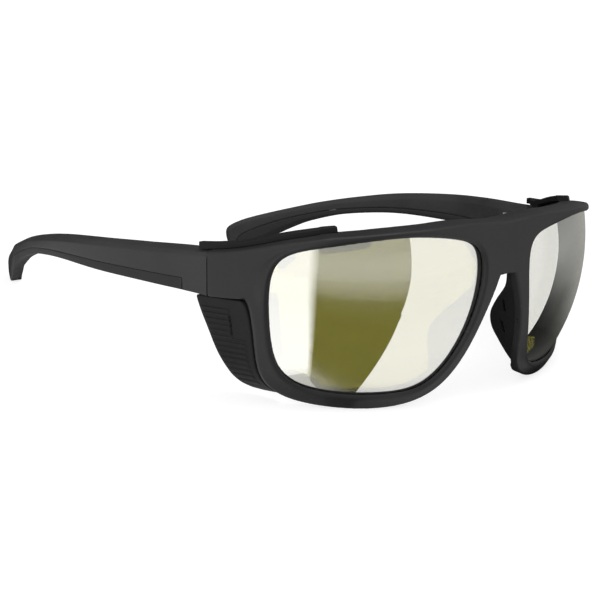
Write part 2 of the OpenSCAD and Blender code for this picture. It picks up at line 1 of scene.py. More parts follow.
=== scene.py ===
"""Polarized sunglasses with side shields, dressed round the fixed frame.

The pieces are built in millimetres in the worn frame (x to the wearer's left,
y back towards the ears, z up) from the sizes that the construction uses, and
are then placed in the frame's own position, tipped back on rims and temple tips.
"""
import json
import logging
import math
from dataclasses import dataclass
from enum import Enum
from typing import Callable, Sequence

import bmesh
import bpy
from mathutils import Matrix, Vector


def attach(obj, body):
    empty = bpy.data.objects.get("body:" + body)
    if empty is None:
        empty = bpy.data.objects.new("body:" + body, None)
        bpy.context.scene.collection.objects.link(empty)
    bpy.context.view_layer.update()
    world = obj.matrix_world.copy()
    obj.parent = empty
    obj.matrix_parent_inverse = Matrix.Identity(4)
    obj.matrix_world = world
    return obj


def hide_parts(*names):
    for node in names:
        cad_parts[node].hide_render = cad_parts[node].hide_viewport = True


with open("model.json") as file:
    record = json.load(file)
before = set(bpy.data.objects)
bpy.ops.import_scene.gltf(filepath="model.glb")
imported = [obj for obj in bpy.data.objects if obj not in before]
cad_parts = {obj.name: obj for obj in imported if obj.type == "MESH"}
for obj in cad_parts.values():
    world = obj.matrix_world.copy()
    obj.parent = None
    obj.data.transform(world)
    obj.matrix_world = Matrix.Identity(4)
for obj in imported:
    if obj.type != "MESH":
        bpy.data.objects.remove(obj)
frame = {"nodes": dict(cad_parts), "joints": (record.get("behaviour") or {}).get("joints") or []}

LOG = logging.getLogger("sunglasses")
MM = 0.001
BOW_LIMIT = 0.45  # largest share of an edge that the bow at one of its ends takes

Ring = list[Vector]
Table = Sequence[tuple[float, float]]


class Side(Enum):
    """The wearer's two sides; the value is the sign of x."""

    LEFT = 1
    RIGHT = -1

    @property
    def word(self) -> str:
        """Name of the side as the nodes' names begin with it."""
        return self.name.lower()


class Body(Enum):
    """The bodies that pieces ride on."""

    FRONT = "front"
    LEFT_ARM = "left_arm"
    RIGHT_ARM = "right_arm"

    @staticmethod
    def arm(side: Side) -> "Body":
        """Body of the temple on one side."""
        return Body.LEFT_ARM if side is Side.LEFT else Body.RIGHT_ARM


class Slot(Enum):
    """The record's material slots, passed along with the modelled pieces but not read."""

    FRAME = "frame_plastic"
    SHIELD = "shield_plastic"
    RUBBER = "soft_rubber"
    LENS = "lens_tint"


class Merge(Enum):
    """Ways to combine two closed meshes."""

    ADD = "UNION"
    CUT = "DIFFERENCE"


def lookup(table: Table, x: float) -> float:
    """Value at x on the straight pieces between a table's points.

    Args:
        table: Pairs of place and value in rising order of place.
        x: Place to read at; beyond the ends the end values hold.

    Returns:
        The value at x.
    """
    if x <= table[0][0]:
        return table[0][1]
    for (x0, v0), (x1, v1) in zip(table, table[1:]):
        if x <= x1:
            return v0 + (v1 - v0) * (x - x0) / (x1 - x0)
    return table[-1][1]


def through(rows: Sequence[Sequence[float]], t: float) -> list[float]:
    """Point at t of a smooth open curve that passes through its rows.

    Args:
        rows: Points of any dimension, one for each whole number of t.
        t: Place along the rows, from 0 to the last row's number.

    Returns:
        The point's coordinates.
    """
    last = len(rows) - 1
    i = max(min(math.floor(t), last - 1), 0)
    u = t - i
    a, b, c, d = rows[max(i - 1, 0)], rows[i], rows[i + 1], rows[min(i + 2, last)]
    return [
        q + u * (r - p) / 2 + u * u * (2 * p - 5 * q + 4 * r - s) / 2
        + u ** 3 * (3 * q - p - 3 * r + s) / 2
        for p, q, r, s in zip(a, b, c, d)
    ]


def smooth_lookup(table: Table, x: float) -> float:
    """Value at x of a smooth curve through a table's points.

    Args:
        table: Pairs of place and value in rising order of place.
        x: Place to read at.

    Returns:
        The value at x.
    """
    i = max([0] + [k for k in range(len(table) - 1) if x >= table[k][0]])
    u = (x - table[i][0]) / (table[i + 1][0] - table[i][0])
    return through(table, i + u)[1]


def closed_spline(ctrl: Sequence[Vector], count: int) -> Ring:
    """Closed uniform cubic spline over control points.

    Args:
        ctrl: Control points in two dimensions.
        count: Number of points wanted on the curve.

    Returns:
        The points of the curve.
    """
    n = len(ctrl)
    points = []
    for k in range(count):
        t = k * n / count
        i, u = math.floor(t), t - math.floor(t)
        a, b, d, e = (ctrl[(i + j) % n] for j in (-1, 0, 1, 2))
        points.append(((1 - u) ** 3 * a + (3 * u ** 3 - 6 * u * u + 4) * b
                       + (-3 * u ** 3 + 3 * u * u + 3 * u + 1) * d + u ** 3 * e) / 6)
    return points


def rounded(ring: Ring, radius: float, steps: int = 3) -> Ring:
    """Ring with each corner turned into a small bow.

    Args:
        ring: Corners of the ring.
        radius: How far from a corner its bow begins and ends.
        steps: Number of points on each bow beyond its first.

    Returns:
        The corners' bows in order.
    """
    out = []
    for i, corner in enumerate(ring):
        before, after = ring[i - 1] - corner, ring[(i + 1) % len(ring)] - corner
        p = corner + before * min(radius / before.length, BOW_LIMIT)
        q = corner + after * min(radius / after.length, BOW_LIMIT)
        for k in range(steps + 1):
            u = k / steps
            out.append((1 - u) ** 2 * p + 2 * u * (1 - u) * corner + u * u * q)
    return out


def edge_drop(distance: float, radius: float) -> float:
    """How far a rounded edge lies under the surface at a distance from the edge."""
    d = max(min(distance, radius), 0.0)
    return radius - math.sqrt(radius * radius - (radius - d) ** 2)


def step_up(x: float, low: float, high: float) -> float:
    """Smooth step from 0 at low to 1 at high."""
    u = min(max((x - low) / (high - low), 0.0), 1.0)
    return u * u * (3 - 2 * u)


class MeshShop:
    """Makes, joins and smooths meshes that are still in millimetres."""

    @staticmethod
    def skin(name: str, rings: Sequence[Ring], closed: bool = False) -> bpy.types.Object:
        """Skin over rings of equal length.

        Args:
            name: Name of the new object.
            rings: The rings in order.
            closed: Whether the last ring joins the first; otherwise both ends get a fan.

        Returns:
            The new object.
        """
        bm = bmesh.new()
        grid = [[bm.verts.new(p) for p in ring] for ring in rings]
        m = len(rings[0])
        for i in range(len(grid) if closed else len(grid) - 1):
            low, high = grid[i], grid[(i + 1) % len(grid)]
            for j in range(m):
                bm.faces.new((low[j], low[(j + 1) % m], high[(j + 1) % m], high[j]))
        if not closed:
            for end in (grid[0], grid[-1]):
                middle = bm.verts.new(sum((v.co for v in end), Vector()) / m)
                for j in range(m):
                    bm.faces.new((end[j], end[(j + 1) % m], middle))
        bmesh.ops.recalc_face_normals(bm, faces=bm.faces)
        mesh = bpy.data.meshes.new(name)
        bm.to_mesh(mesh)
        bm.free()
        obj = bpy.data.objects.new(name, mesh)
        bpy.context.scene.collection.objects.link(obj)
        return obj

    @staticmethod
    def box(name: str, low: Sequence[float], high: Sequence[float]) -> bpy.types.Object:
        """Cutting block between two corners.

        Args:
            name: Name of the new object.
            low: Corner with the lowest coordinates.
            high: Corner with the highest coordinates.

        Returns:
            The new object.
        """
        rings = [[Vector((x, y, z)) for x, y in ((low[0], low[1]), (high[0], low[1]),
                                                 (high[0], high[1]), (low[0], high[1]))]
                 for z in (low[2], high[2])]
        return MeshShop.skin(name, rings)

    @staticmethod
    def settle(obj: bpy.types.Object) -> None:
        """Applies all modifiers of an object to its mesh.

        Args:
            obj: The object; its old mesh is dropped.
        """
        bpy.context.view_layer.update()
        graph = bpy.context.evaluated_depsgraph_get()
        mesh = bpy.data.meshes.new_from_object(obj.evaluated_get(graph))
        obj.modifiers.clear()
        old, obj.data = obj.data, mesh
        bpy.data.meshes.remove(old)

    @staticmethod
    def merge(base: bpy.types.Object, others: Sequence[bpy.types.Object], how: Merge) -> None:
        """Adds other closed meshes to a base, or cuts them out of it.

        Args:
            base: The object that stays.
            others: The objects that are used up.
            how: Whether they are added or cut out.
        """
        for other in others:
            tool = base.modifiers.new(how.name, "BOOLEAN")
            tool.operation = how.value
            tool.solver = "MANIFOLD"
            tool.object = other
            MeshShop.settle(base)
            bpy.data.meshes.remove(other.data)

    @staticmethod
    def keep_largest(obj: bpy.types.Object) -> None:
        """Drops every loose crumb of a mesh and keeps its largest joined part.

        Args:
            obj: The object whose mesh is cleaned.
        """
        bm = bmesh.new()
        bm.from_mesh(obj.data)
        left, parts = set(bm.verts), []
        while left:
            part, edge = set(), {left.pop()}
            while edge:
                part |= edge
                edge = {e.other_vert(v) for v in edge for e in v.link_edges} - part
            left -= part
            parts.append(part)
        for part in sorted(parts, key=len)[:-1]:
            bmesh.ops.delete(bm, geom=list(part), context="VERTS")
        bm.to_mesh(obj.data)
        bm.free()

    @staticmethod
    def recast(obj: bpy.types.Object, voxel: float, repeats: int) -> None:
        """Turns a mesh into one even, softly smoothed skin.

        Args:
            obj: The object whose mesh is recast.
            voxel: Size of the new mesh's squares in millimetres.
            repeats: How often the new mesh is smoothed.
        """
        cast = obj.modifiers.new("cast", "REMESH")
        cast.mode = "VOXEL"
        cast.voxel_size = voxel
        soft = obj.modifiers.new("soft", "SMOOTH")
        soft.factor = 0.5
        soft.iterations = repeats
        MeshShop.settle(obj)
        MeshShop.keep_largest(obj)


@dataclass(frozen=True)
class Placement:
    """Where the worn frame lies in the frame's own coordinates."""

    matrix: Matrix

    @staticmethod
    def from_joint(joint: dict, pivot: Vector) -> "Placement":
        """Placement found from a hinge of the frame.

        Args:
            joint: The left hinge as the record has it.
            pivot: The middle of the same hinge in the worn frame, in millimetres.

        Returns:
            The placement.
        """
        axis, pos = Vector(joint["axis"]), Vector(joint["pos_m"])
        turn = Matrix.Rotation(-math.atan2(axis.y, axis.z), 4, "X")
        shift = pos - (turn @ pivot) * MM
        shift.x = 0.0
        return Placement(Matrix.Translation(shift) @ Matrix.Scale(MM, 4) @ turn)


@dataclass(frozen=True)
class FrontForm:
    """Sizes and surfaces that the front, lenses and shields share."""

    lens_w: float = 56.5
    lens_h: float = 42.0
    bridge_gap: float = 20.0
    lens_r: float = 61.5
    lens_cx: float = 16.8
    lens_cz: float = 11.5
    rim_front: float = 1.4
    brow_rise: float = 0.6
    end_rise: float = 0.3
    crest_back: float = 5.0
    bridge_z: float = 7.7
    end_reach: float = 5.0
    end_len: float = 14.0
    end_t: float = 7.6
    end_z: float = 5.0
    end_top: float = 16.7
    hinge_h: float = 7.2
    hinge_rise: float = 2.4
    pivot_in: float = 1.8
    turn_x: float = 56.0
    turn_lead: float = 9.0
    hinge_lead: float = 9.0
    hinge_toe: float = 0.6
    # Control points as shares of half a lens's size, and how far the rim reaches past each.
    opening_shape: tuple[tuple[float, float], ...] = (
        (-1.01, 0.19), (-1.03, 0.76), (-0.67, 0.90), (0, 1), (0.65, 0.88), (0.97, 0.81),
        (0.99, 0.14), (0.83, -0.71), (0.44, -0.98), (-0.16, -1.05), (-0.60, -1.02),
        (-0.83, -0.52))
    rim_reach: tuple[tuple[float, float], ...] = (
        (-9, 7.5), (-9, 6), (-4.5, 3.5), (1.5, 1), (5.5, 2), (6, 0), (1.5, -1.5),
        (1.8, -3.1), (0.5, -3.5), (-4.5, -4.5), (-7.5, -0.5), (-5.5, 7))
    stations: int = 240

    @property
    def lens_mid(self) -> float:
        """Sideways place of the middle of a lens."""
        return self.bridge_gap / 2 + self.lens_w / 2

    @property
    def opening_x(self) -> float:
        """Sideways place of the outer end of a lens opening."""
        return self.bridge_gap / 2 + self.lens_w

    @property
    def hinge_x(self) -> float:
        """Sideways place of the outside of the hinge."""
        return self.opening_x + self.end_reach

    @property
    def hinge_y(self) -> float:
        """Depth of the joint between end piece and temple."""
        return self.over_lens(self.opening_x, 0, 0).y + self.end_len

    @property
    def leaf_x(self) -> float:
        """Sideways place of the end piece's inner face."""
        return self.hinge_x - self.end_t

    @property
    def hinge_z(self) -> float:
        """Height of the foot of the hinge."""
        return self.end_z + self.hinge_rise

    @property
    def pivot(self) -> Vector:
        """Middle of the left hinge."""
        return Vector((self.leaf_x - self.pivot_in, self.hinge_y,
                       self.hinge_z + self.hinge_h / 2))

    def opening(self) -> Ring:
        """Outline of the lens opening.

        Returns:
            The outline's points in x and z.
        """
        ctrl = [Vector((self.lens_mid + x * self.lens_w / 2, z * self.lens_h / 2))
                for x, z in self.opening_shape]
        return closed_spline(ctrl, self.stations)

    def rim_edge(self) -> Ring:
        """Outer outline of the rim.

        Returns:
            The outline's points in x and z.
        """
        ctrl = [Vector((self.lens_mid + x * self.lens_w / 2 + dx, z * self.lens_h / 2 + dz))
                for (x, z), (dx, dz) in zip(self.opening_shape, self.rim_reach)]
        return closed_spline(ctrl, self.stations)

    def outward(self, ring: Ring) -> Ring:
        """Outward direction of an outline at each of its points.

        Args:
            ring: The outline's points.

        Returns:
            A unit direction for each point.
        """
        out = []
        for k in range(len(ring)):
            d = (ring[(k + 1) % len(ring)] - ring[k - 1]).normalized()
            out.append(Vector((-d.y, d.x)))
        return out

    def ball_point(self, x: float, z: float, h: float, dx: float) -> Vector:
        """Point at height h over a ball whose middle is dx away sideways.

        Args:
            x: Sideways place.
            z: Height.
            h: Height over the ball.
            dx: Sideways distance from the ball's middle.

        Returns:
            The point in the worn frame.
        """
        dz = z - self.lens_cz
        q = math.sqrt(self.lens_r ** 2 - dx * dx - dz * dz)
        return Vector((x, self.lens_r - q, z)) + Vector((dx, -q, dz)) * (h / self.lens_r)

    def over_lens(self, x: float, z: float, h: float) -> Vector:
        """Point at height h over the front of a lens."""
        return self.ball_point(x, z, h, x - self.lens_cx)

    def over_front(self, x: float, z: float, h: float) -> Vector:
        """Point at height h over the front, which is flat across the bridge."""
        return self.ball_point(x, z, h, max(x - self.lens_cx, 0.0))

    def turn_point(self, e: float, z: float) -> Vector:
        """Plan point of the bar's face between the turn, at 0, and the hinge, at 1.

        Args:
            e: Share of the way from the turn to the hinge.
            z: Height.

        Returns:
            The point in x and y.
        """
        start = self.over_front(self.turn_x, z, self.rim_front).xy
        n = Vector((self.turn_x - self.lens_cx,
                    self.over_front(self.turn_x, z, 0).y - self.lens_r)).normalized()
        end = Vector((self.hinge_x, self.hinge_y))
        lead = start + self.turn_lead * Vector((-n.y, n.x))
        tail = end - Vector((self.hinge_toe, self.hinge_lead))
        u = 1 - e
        return u ** 3 * start + 3 * u * u * e * lead + 3 * u * e * e * tail + e ** 3 * end

    def turn_normal(self, e: float, z: float) -> Vector:
        """Plan direction out of the bar's face between the turn and the hinge.

        Args:
            e: Share of the way from the turn to the hinge.
            z: Height.

        Returns:
            A unit direction in x and y.
        """
        step = 0.01
        if e > 1 - step:
            return Vector((1.0, 0.0))
        d = (self.turn_point(e + step, z) - self.turn_point(max(e - step, 0), z)).normalized()
        return Vector((d.y, -d.x))

    def bar_point(self, s: float, z: float, depth: float) -> Vector:
        """Point behind the bar's front face.

        Args:
            s: Plan station; 0 is the middle, 1 the turn and 2 the hinge.
            z: Height.
            depth: Distance behind the face.

        Returns:
            The point in the worn frame.
        """
        if s <= 1:
            p = self.over_front(s * self.turn_x, z, self.rim_front)
            n = Vector((max(p.x - self.lens_cx, 0.0), p.y - self.lens_r)).normalized()
            return Vector((p.x - depth * n.x, p.y - depth * n.y, z))
        e = min(s - 1, 1.0)
        p = self.turn_point(e, z) - depth * self.turn_normal(e, z)
        return Vector((p.x, p.y + max(s - 2, 0) * self.end_len, z))

    def station_x(self, s: float) -> float:
        """Sideways place of a plan station."""
        return s * self.turn_x if s <= 1 else self.turn_point(min(s - 1, 1), self.end_top).x

    def ridge_z(self, x: float) -> float:
        """Height of the brow's ridge at a sideways place.

        Args:
            x: Sideways place.

        Returns:
            The ridge's height.
        """
        return smooth_lookup(
            ((0, 21.5), (16, 22.4), (28, 22.2), (40, 21.9), (48, 21.5), (54, 21.2), (58, 20.7),
             (62, 20), (65, 19.2), (68, 18), (self.hinge_x, self.end_top),
             (self.hinge_x + 8, self.end_top - 0.4)), x)

    def under_z(self, x: float) -> float:
        """Height of the bar's underside at a sideways place.

        Args:
            x: Sideways place.

        Returns:
            The underside's height.
        """
        return smooth_lookup(
            ((0, self.bridge_z), (4, self.bridge_z + 0.3), (8, 13), (12, 17.4), (16, 19.7),
             (22, 20.8), (40, 21), (50, 20.6), (56, 19.7), (62, 18.6), (65, 16), (67, 7.6),
             (68.6, 5.2), (self.hinge_x, self.end_z), (self.hinge_x + 8, self.end_z)), x)

    def crest_z(self, s: float) -> float:
        """Height of the crest of the brow's top face at a plan station."""
        share = max(min(s - 1, 1.0), 0.0)
        return self.ridge_z(self.station_x(s)) + self.brow_rise * (1 + self.end_rise * share)

    def top_z(self, s: float, depth: float) -> float:
        """Height of the brow's top face at a distance behind the front face.

        Args:
            s: Plan station.
            depth: Distance behind the front face.

        Returns:
            The top face's height.
        """
        station = min(s, 2.0)
        ridge = self.ridge_z(self.station_x(station))
        share = min(max(depth / self.crest_back, 0.0), 1.0)
        return ridge + (self.crest_z(station) - ridge) * math.sin(share * math.pi / 2)


class Effect:
    """Base of the shared shader node groups: builds a group once and places it in materials."""

    name = "effect"

    def sockets(self, tree: bpy.types.NodeTree) -> None:
        raise NotImplementedError

    def wire(self, tree: bpy.types.NodeTree) -> None:
        """Builds the group's nodes between its inputs and outputs."""
        raise NotImplementedError

    def tree(self) -> bpy.types.NodeTree:
        """The group's node tree, built at its first use.

        Returns:
            The node tree.
        """
        found = bpy.data.node_groups.get(self.name)
        if found is None:
            found = bpy.data.node_groups.new(self.name, "ShaderNodeTree")
            self.sockets(found)
            self.wire(found)
        return found

    @staticmethod
    def number(tree: bpy.types.NodeTree, name: str, default: float, top: float = 1.0) -> None:
        """Declares a number that goes into the group."""
        socket = tree.interface.new_socket(name, in_out="INPUT", socket_type="NodeSocketFloat")
        socket.default_value, socket.min_value, socket.max_value = default, 0.0, top

    @staticmethod
    def result(tree: bpy.types.NodeTree, name: str) -> None:
        """Declares a number that the group puts out."""
        tree.interface.new_socket(name, in_out="OUTPUT", socket_type="NodeSocketFloat")

    def place(self, sheet: "NodeSheet", **values: float) -> bpy.types.Node:
        """Places the group in a material.

        Args:
            sheet: The material's nodes.
            values: The group's inputs by name.

        Returns:
            The group's node.
        """
        node = sheet.tree.nodes.new("ShaderNodeGroup")
        node.node_tree = self.tree()
        for name, value in values.items():
            node.inputs[name].default_value = value
        return node


class NodeSheet:
    """Adds and links the nodes of one tree."""

    def __init__(self, tree: bpy.types.NodeTree) -> None:
        """Starts on a tree."""
        self.tree = tree

    def add(self, kind: str, settings: dict | None = None, **values: object) -> bpy.types.Node:
        """Adds a node.

        Args:
            kind: The node's type.
            settings: Attributes of the node.
            values: Inputs by name, or by number after the letter i.

        Returns:
            The new node.
        """
        node = self.tree.nodes.new(kind)
        for name, value in (settings or {}).items():
            setattr(node, name, value)
        for name, value in values.items():
            key = int(name[1:]) if name[1:].isdigit() else name.replace("_", " ")
            node.inputs[key].default_value = value
        return node

    def link(self, source: bpy.types.NodeSocket, target: bpy.types.NodeSocket) -> None:
        """Links an output to an input."""
        self.tree.links.new(source, target)

    def feed(self, value: object, target: bpy.types.NodeSocket) -> None:
        """Gives an input a value, or links it where the value is a socket.

        Args:
            value: A socket, a number or a colour.
            target: The input.
        """
        if isinstance(value, bpy.types.NodeSocket):
            self.link(value, target)
        else:
            target.default_value = value

    def math(self, kind: str, a: object, b: object) -> bpy.types.NodeSocket:
        """Adds a Math node.

        Args:
            kind: The operation.
            a: A socket or a number.
            b: A socket or a number.

        Returns:
            The result's socket.
        """
        node = self.add("ShaderNodeMath", {"operation": kind})
        for value, target in zip((a, b), node.inputs):
            self.feed(value, target)
        return node.outputs[0]

    def blend(self, factor: bpy.types.NodeSocket, a: object, b: object) -> bpy.types.NodeSocket:
        """Adds a mix of two colours.

        Args:
            factor: Share of the second colour.
            a: The first colour, as red, green and blue or as a socket.
            b: The second colour.

        Returns:
            The result's socket.
        """
        node = self.add("ShaderNodeMix", {"data_type": "RGBA"})
        for name, color in (("A", a), ("B", b)):
            self.feed(color + (1.0,) if isinstance(color, tuple) else color, node.inputs[name])
        self.link(factor, node.inputs["Factor"])
        return node.outputs["Result"]

    def bump(self, shader: bpy.types.Node, height: bpy.types.NodeSocket, strength: float,
             distance: float) -> None:
        """Adds a bump to a shader.

        Args:
            shader: The shader whose normal it bends.
            height: The surface's height from 0 to 1.
            strength: How much of the bump shows.
            distance: The whole height in metres.
        """
        node = self.add("ShaderNodeBump", Strength=strength, Distance=distance)
        self.link(height, node.inputs["Height"])
        self.link(node.outputs["Normal"], shader.inputs["Normal"])

    def object_place(self) -> bpy.types.NodeSocket:
        """The place on the object that noise is read at."""
        return self.add("ShaderNodeTexCoord").outputs["Object"]

    def spread(self, value: bpy.types.NodeSocket, low: float, high: float,
               to_low: object = 0.0, to_high: object = 1.0) -> bpy.types.NodeSocket:
        """Maps a value's range to another one, smoothly and clamped.

        Args:
            value: The socket to map.
            low: Value that becomes to_low.
            high: Value that becomes to_high.
            to_low: Number or socket for the low end.
            to_high: Number or socket for the high end.

        Returns:
            The result's socket.
        """
        node = self.add("ShaderNodeMapRange", {"interpolation_type": "SMOOTHSTEP"})
        node.inputs["From Min"].default_value = low
        node.inputs["From Max"].default_value = high
        self.feed(to_low, node.inputs["To Min"])
        self.feed(to_high, node.inputs["To Max"])
        self.link(value, node.inputs["Value"])
        return node.outputs["Result"]


class MouldedGrain(Effect):
    """Fine spark-eroded grain of a moulded surface with slow changes of its sheen."""

    name = "moulded_grain"

    def sockets(self, tree: bpy.types.NodeTree) -> None:
        """Declares grain size, height, base roughness and its change.

        Args:
            tree: The group's node tree.
        """
        self.number(tree, "Grain", 1800.0, 9000.0)
        self.number(tree, "Patches", 60.0, 900.0)
        self.number(tree, "Rough", 0.5)
        self.number(tree, "Change", 0.08)
        for name in ("Height", "Roughness", "Cloud"):
            self.result(tree, name)

    def wire(self, tree: bpy.types.NodeTree) -> None:
        """Adds pits and fine noise for the height and slow noise for the sheen.

        Args:
            tree: The group's node tree.
        """
        sheet = NodeSheet(tree)
        inner, outer = tree.nodes.new("NodeGroupInput"), tree.nodes.new("NodeGroupOutput")
        place = sheet.object_place()
        fine = sheet.add("ShaderNodeTexNoise", Detail=3.0, Roughness=0.6)
        pits = sheet.add("ShaderNodeTexVoronoi", Randomness=1.0)
        slow = sheet.add("ShaderNodeTexNoise", Detail=4.0, Roughness=0.55, Distortion=0.4)
        for node in (fine, pits, slow):
            sheet.link(place, node.inputs["Vector"])
        sheet.link(inner.outputs["Grain"], fine.inputs["Scale"])
        sheet.link(sheet.math("MULTIPLY", inner.outputs["Grain"], 0.8), pits.inputs["Scale"])
        sheet.link(inner.outputs["Patches"], slow.inputs["Scale"])
        height = sheet.math("ADD", sheet.math("MULTIPLY", fine.outputs["Fac"], 0.6),
                            sheet.math("MULTIPLY", pits.outputs["Distance"], 0.4))
        sheet.link(height, outer.inputs["Height"])
        cloud = sheet.spread(slow.outputs["Fac"], 0.3, 0.7)
        sheet.link(cloud, outer.inputs["Cloud"])
        swing = sheet.math("MULTIPLY", sheet.math("SUBTRACT", cloud, 0.5), inner.outputs["Change"])
        grit = sheet.math("MULTIPLY", sheet.math("SUBTRACT", fine.outputs["Fac"], 0.5),
                          inner.outputs["Change"])
        sheet.link(sheet.math("ADD", inner.outputs["Rough"], sheet.math("ADD", swing, grit)),
                   outer.inputs["Roughness"])


class EdgeWearAndHighlight(Effect):
    """Paler, slightly polished edges, broken up where hands don't reach: partly wear, partly a
    painted highlight along sharp edges.
    """

    name = "edge_wear_and_highlight"

    def sockets(self, tree: bpy.types.NodeTree) -> None:
        """Declares where wear and its painted highlight begin, their strength and how they are
        broken up.

        Args:
            tree: The group's node tree.
        """
        self.number(tree, "Start", 0.52)
        self.number(tree, "Width", 0.06)
        self.number(tree, "Amount", 0.5)
        self.number(tree, "Breaks", 220.0, 4000.0)
        self.result(tree, "Mask")

    def wire(self, tree: bpy.types.NodeTree) -> None:
        """Reads how sharply the surface bends and breaks the result up with noise.

        Args:
            tree: The group's node tree.
        """
        sheet = NodeSheet(tree)
        inner, outer = tree.nodes.new("NodeGroupInput"), tree.nodes.new("NodeGroupOutput")
        bend = sheet.add("ShaderNodeNewGeometry").outputs["Pointiness"]
        noise = sheet.add("ShaderNodeTexNoise", Detail=5.0, Roughness=0.65)
        sheet.link(sheet.object_place(), noise.inputs["Vector"])
        sheet.link(inner.outputs["Breaks"], noise.inputs["Scale"])
        # The mask is partly wear and partly a painted highlight on sharp edges.
        above = sheet.math("DIVIDE", sheet.math("SUBTRACT", bend, inner.outputs["Start"]),
                           inner.outputs["Width"])
        broken = sheet.math("MULTIPLY", sheet.spread(above, 0.0, 1.0),
                            sheet.spread(noise.outputs["Fac"], 0.32, 0.62, 0.45, 1.0))
        sheet.link(sheet.math("MULTIPLY", broken, inner.outputs["Amount"]), outer.inputs["Mask"])


class DustFilm(Effect):
    """Thin dust that lies on what faces up."""

    name = "dust_film"

    def sockets(self, tree: bpy.types.NodeTree) -> None:
        """Declares how much dust lies and how it is speckled.

        Args:
            tree: The group's node tree.
        """
        self.number(tree, "Amount", 0.1)
        self.number(tree, "Specks", 900.0, 9000.0)
        self.result(tree, "Mask")

    def wire(self, tree: bpy.types.NodeTree) -> None:
        """Multiplies how far the surface faces up with two sizes of noise.

        Args:
            tree: The group's node tree.
        """
        sheet = NodeSheet(tree)
        inner, outer = tree.nodes.new("NodeGroupInput"), tree.nodes.new("NodeGroupOutput")
        up = sheet.add("ShaderNodeSeparateXYZ")
        sheet.link(sheet.add("ShaderNodeNewGeometry").outputs["Normal"], up.inputs[0])
        place = sheet.object_place()
        specks = sheet.add("ShaderNodeTexNoise", Detail=2.0, Roughness=0.5)
        drifts = sheet.add("ShaderNodeTexNoise", Scale=90.0, Detail=4.0)
        for node in (specks, drifts):
            sheet.link(place, node.inputs["Vector"])
        sheet.link(inner.outputs["Specks"], specks.inputs["Scale"])
        lying = sheet.math("MULTIPLY", sheet.spread(up.outputs["Z"], 0.2, 0.95),
                           sheet.spread(drifts.outputs["Fac"], 0.35, 0.65, 0.3, 1.0))
        film = sheet.math("MULTIPLY", lying,
                          sheet.spread(specks.outputs["Fac"], 0.45, 0.75, 0.35, 1.0))
        sheet.link(sheet.math("MULTIPLY", film, inner.outputs["Amount"]), outer.inputs["Mask"])


class BrushLines(Effect):
    """Fine parallel brush marks across steel."""

    name = "brush_lines"

    def sockets(self, tree: bpy.types.NodeTree) -> None:
        """Declares how fine the marks are and how much they change the sheen.

        Args:
            tree: The group's node tree.
        """
        self.number(tree, "Fineness", 5000.0, 20000.0)
        self.number(tree, "Rough", 0.3)
        self.number(tree, "Change", 0.15)
        for name in ("Height", "Roughness"):
            self.result(tree, name)

    def wire(self, tree: bpy.types.NodeTree) -> None:
        """Stretches noise along the brushing.

        Args:
            tree: The group's node tree.
        """
        sheet = NodeSheet(tree)
        inner, outer = tree.nodes.new("NodeGroupInput"), tree.nodes.new("NodeGroupOutput")
        turn = sheet.add("ShaderNodeMapping", Scale=(1.0, 0.06, 1.0), Rotation=(0.16, 0.0, 0.0))
        sheet.link(sheet.object_place(), turn.inputs["Vector"])
        marks = sheet.add("ShaderNodeTexNoise", Detail=3.0, Roughness=0.7)
        sheet.link(turn.outputs["Vector"], marks.inputs["Vector"])
        sheet.link(inner.outputs["Fineness"], marks.inputs["Scale"])
        sheet.link(marks.outputs["Fac"], outer.inputs["Height"])
        swing = sheet.math("MULTIPLY", sheet.math("SUBTRACT", marks.outputs["Fac"], 0.5),
                           inner.outputs["Change"])
        sheet.link(sheet.math("ADD", inner.outputs["Rough"], swing), outer.inputs["Roughness"])


GRAIN, WEAR_AND_HIGHLIGHT, DUST, BRUSHED = MouldedGrain(), EdgeWearAndHighlight(), DustFilm(), BrushLines()


@dataclass(frozen=True)
class Finish:
    """Base of the finishes: a named material with a Principled shader."""

    name: str

    def start(self) -> tuple[bpy.types.Material, NodeSheet, bpy.types.Node]:
        """A new material with its sheet of nodes and its shader.

        Returns:
            The material, its sheet and its Principled shader.
        """
        material = bpy.data.materials.new(self.name)
        material.use_nodes = True
        sheet = NodeSheet(material.node_tree)
        return material, sheet, material.node_tree.nodes["Principled BSDF"]

    def material(self) -> bpy.types.Material:
        """The finish's material, built at its first use."""
        return bpy.data.materials.get(self.name) or self.build()

    def build(self) -> bpy.types.Material:
        """Builds the material."""
        raise NotImplementedError


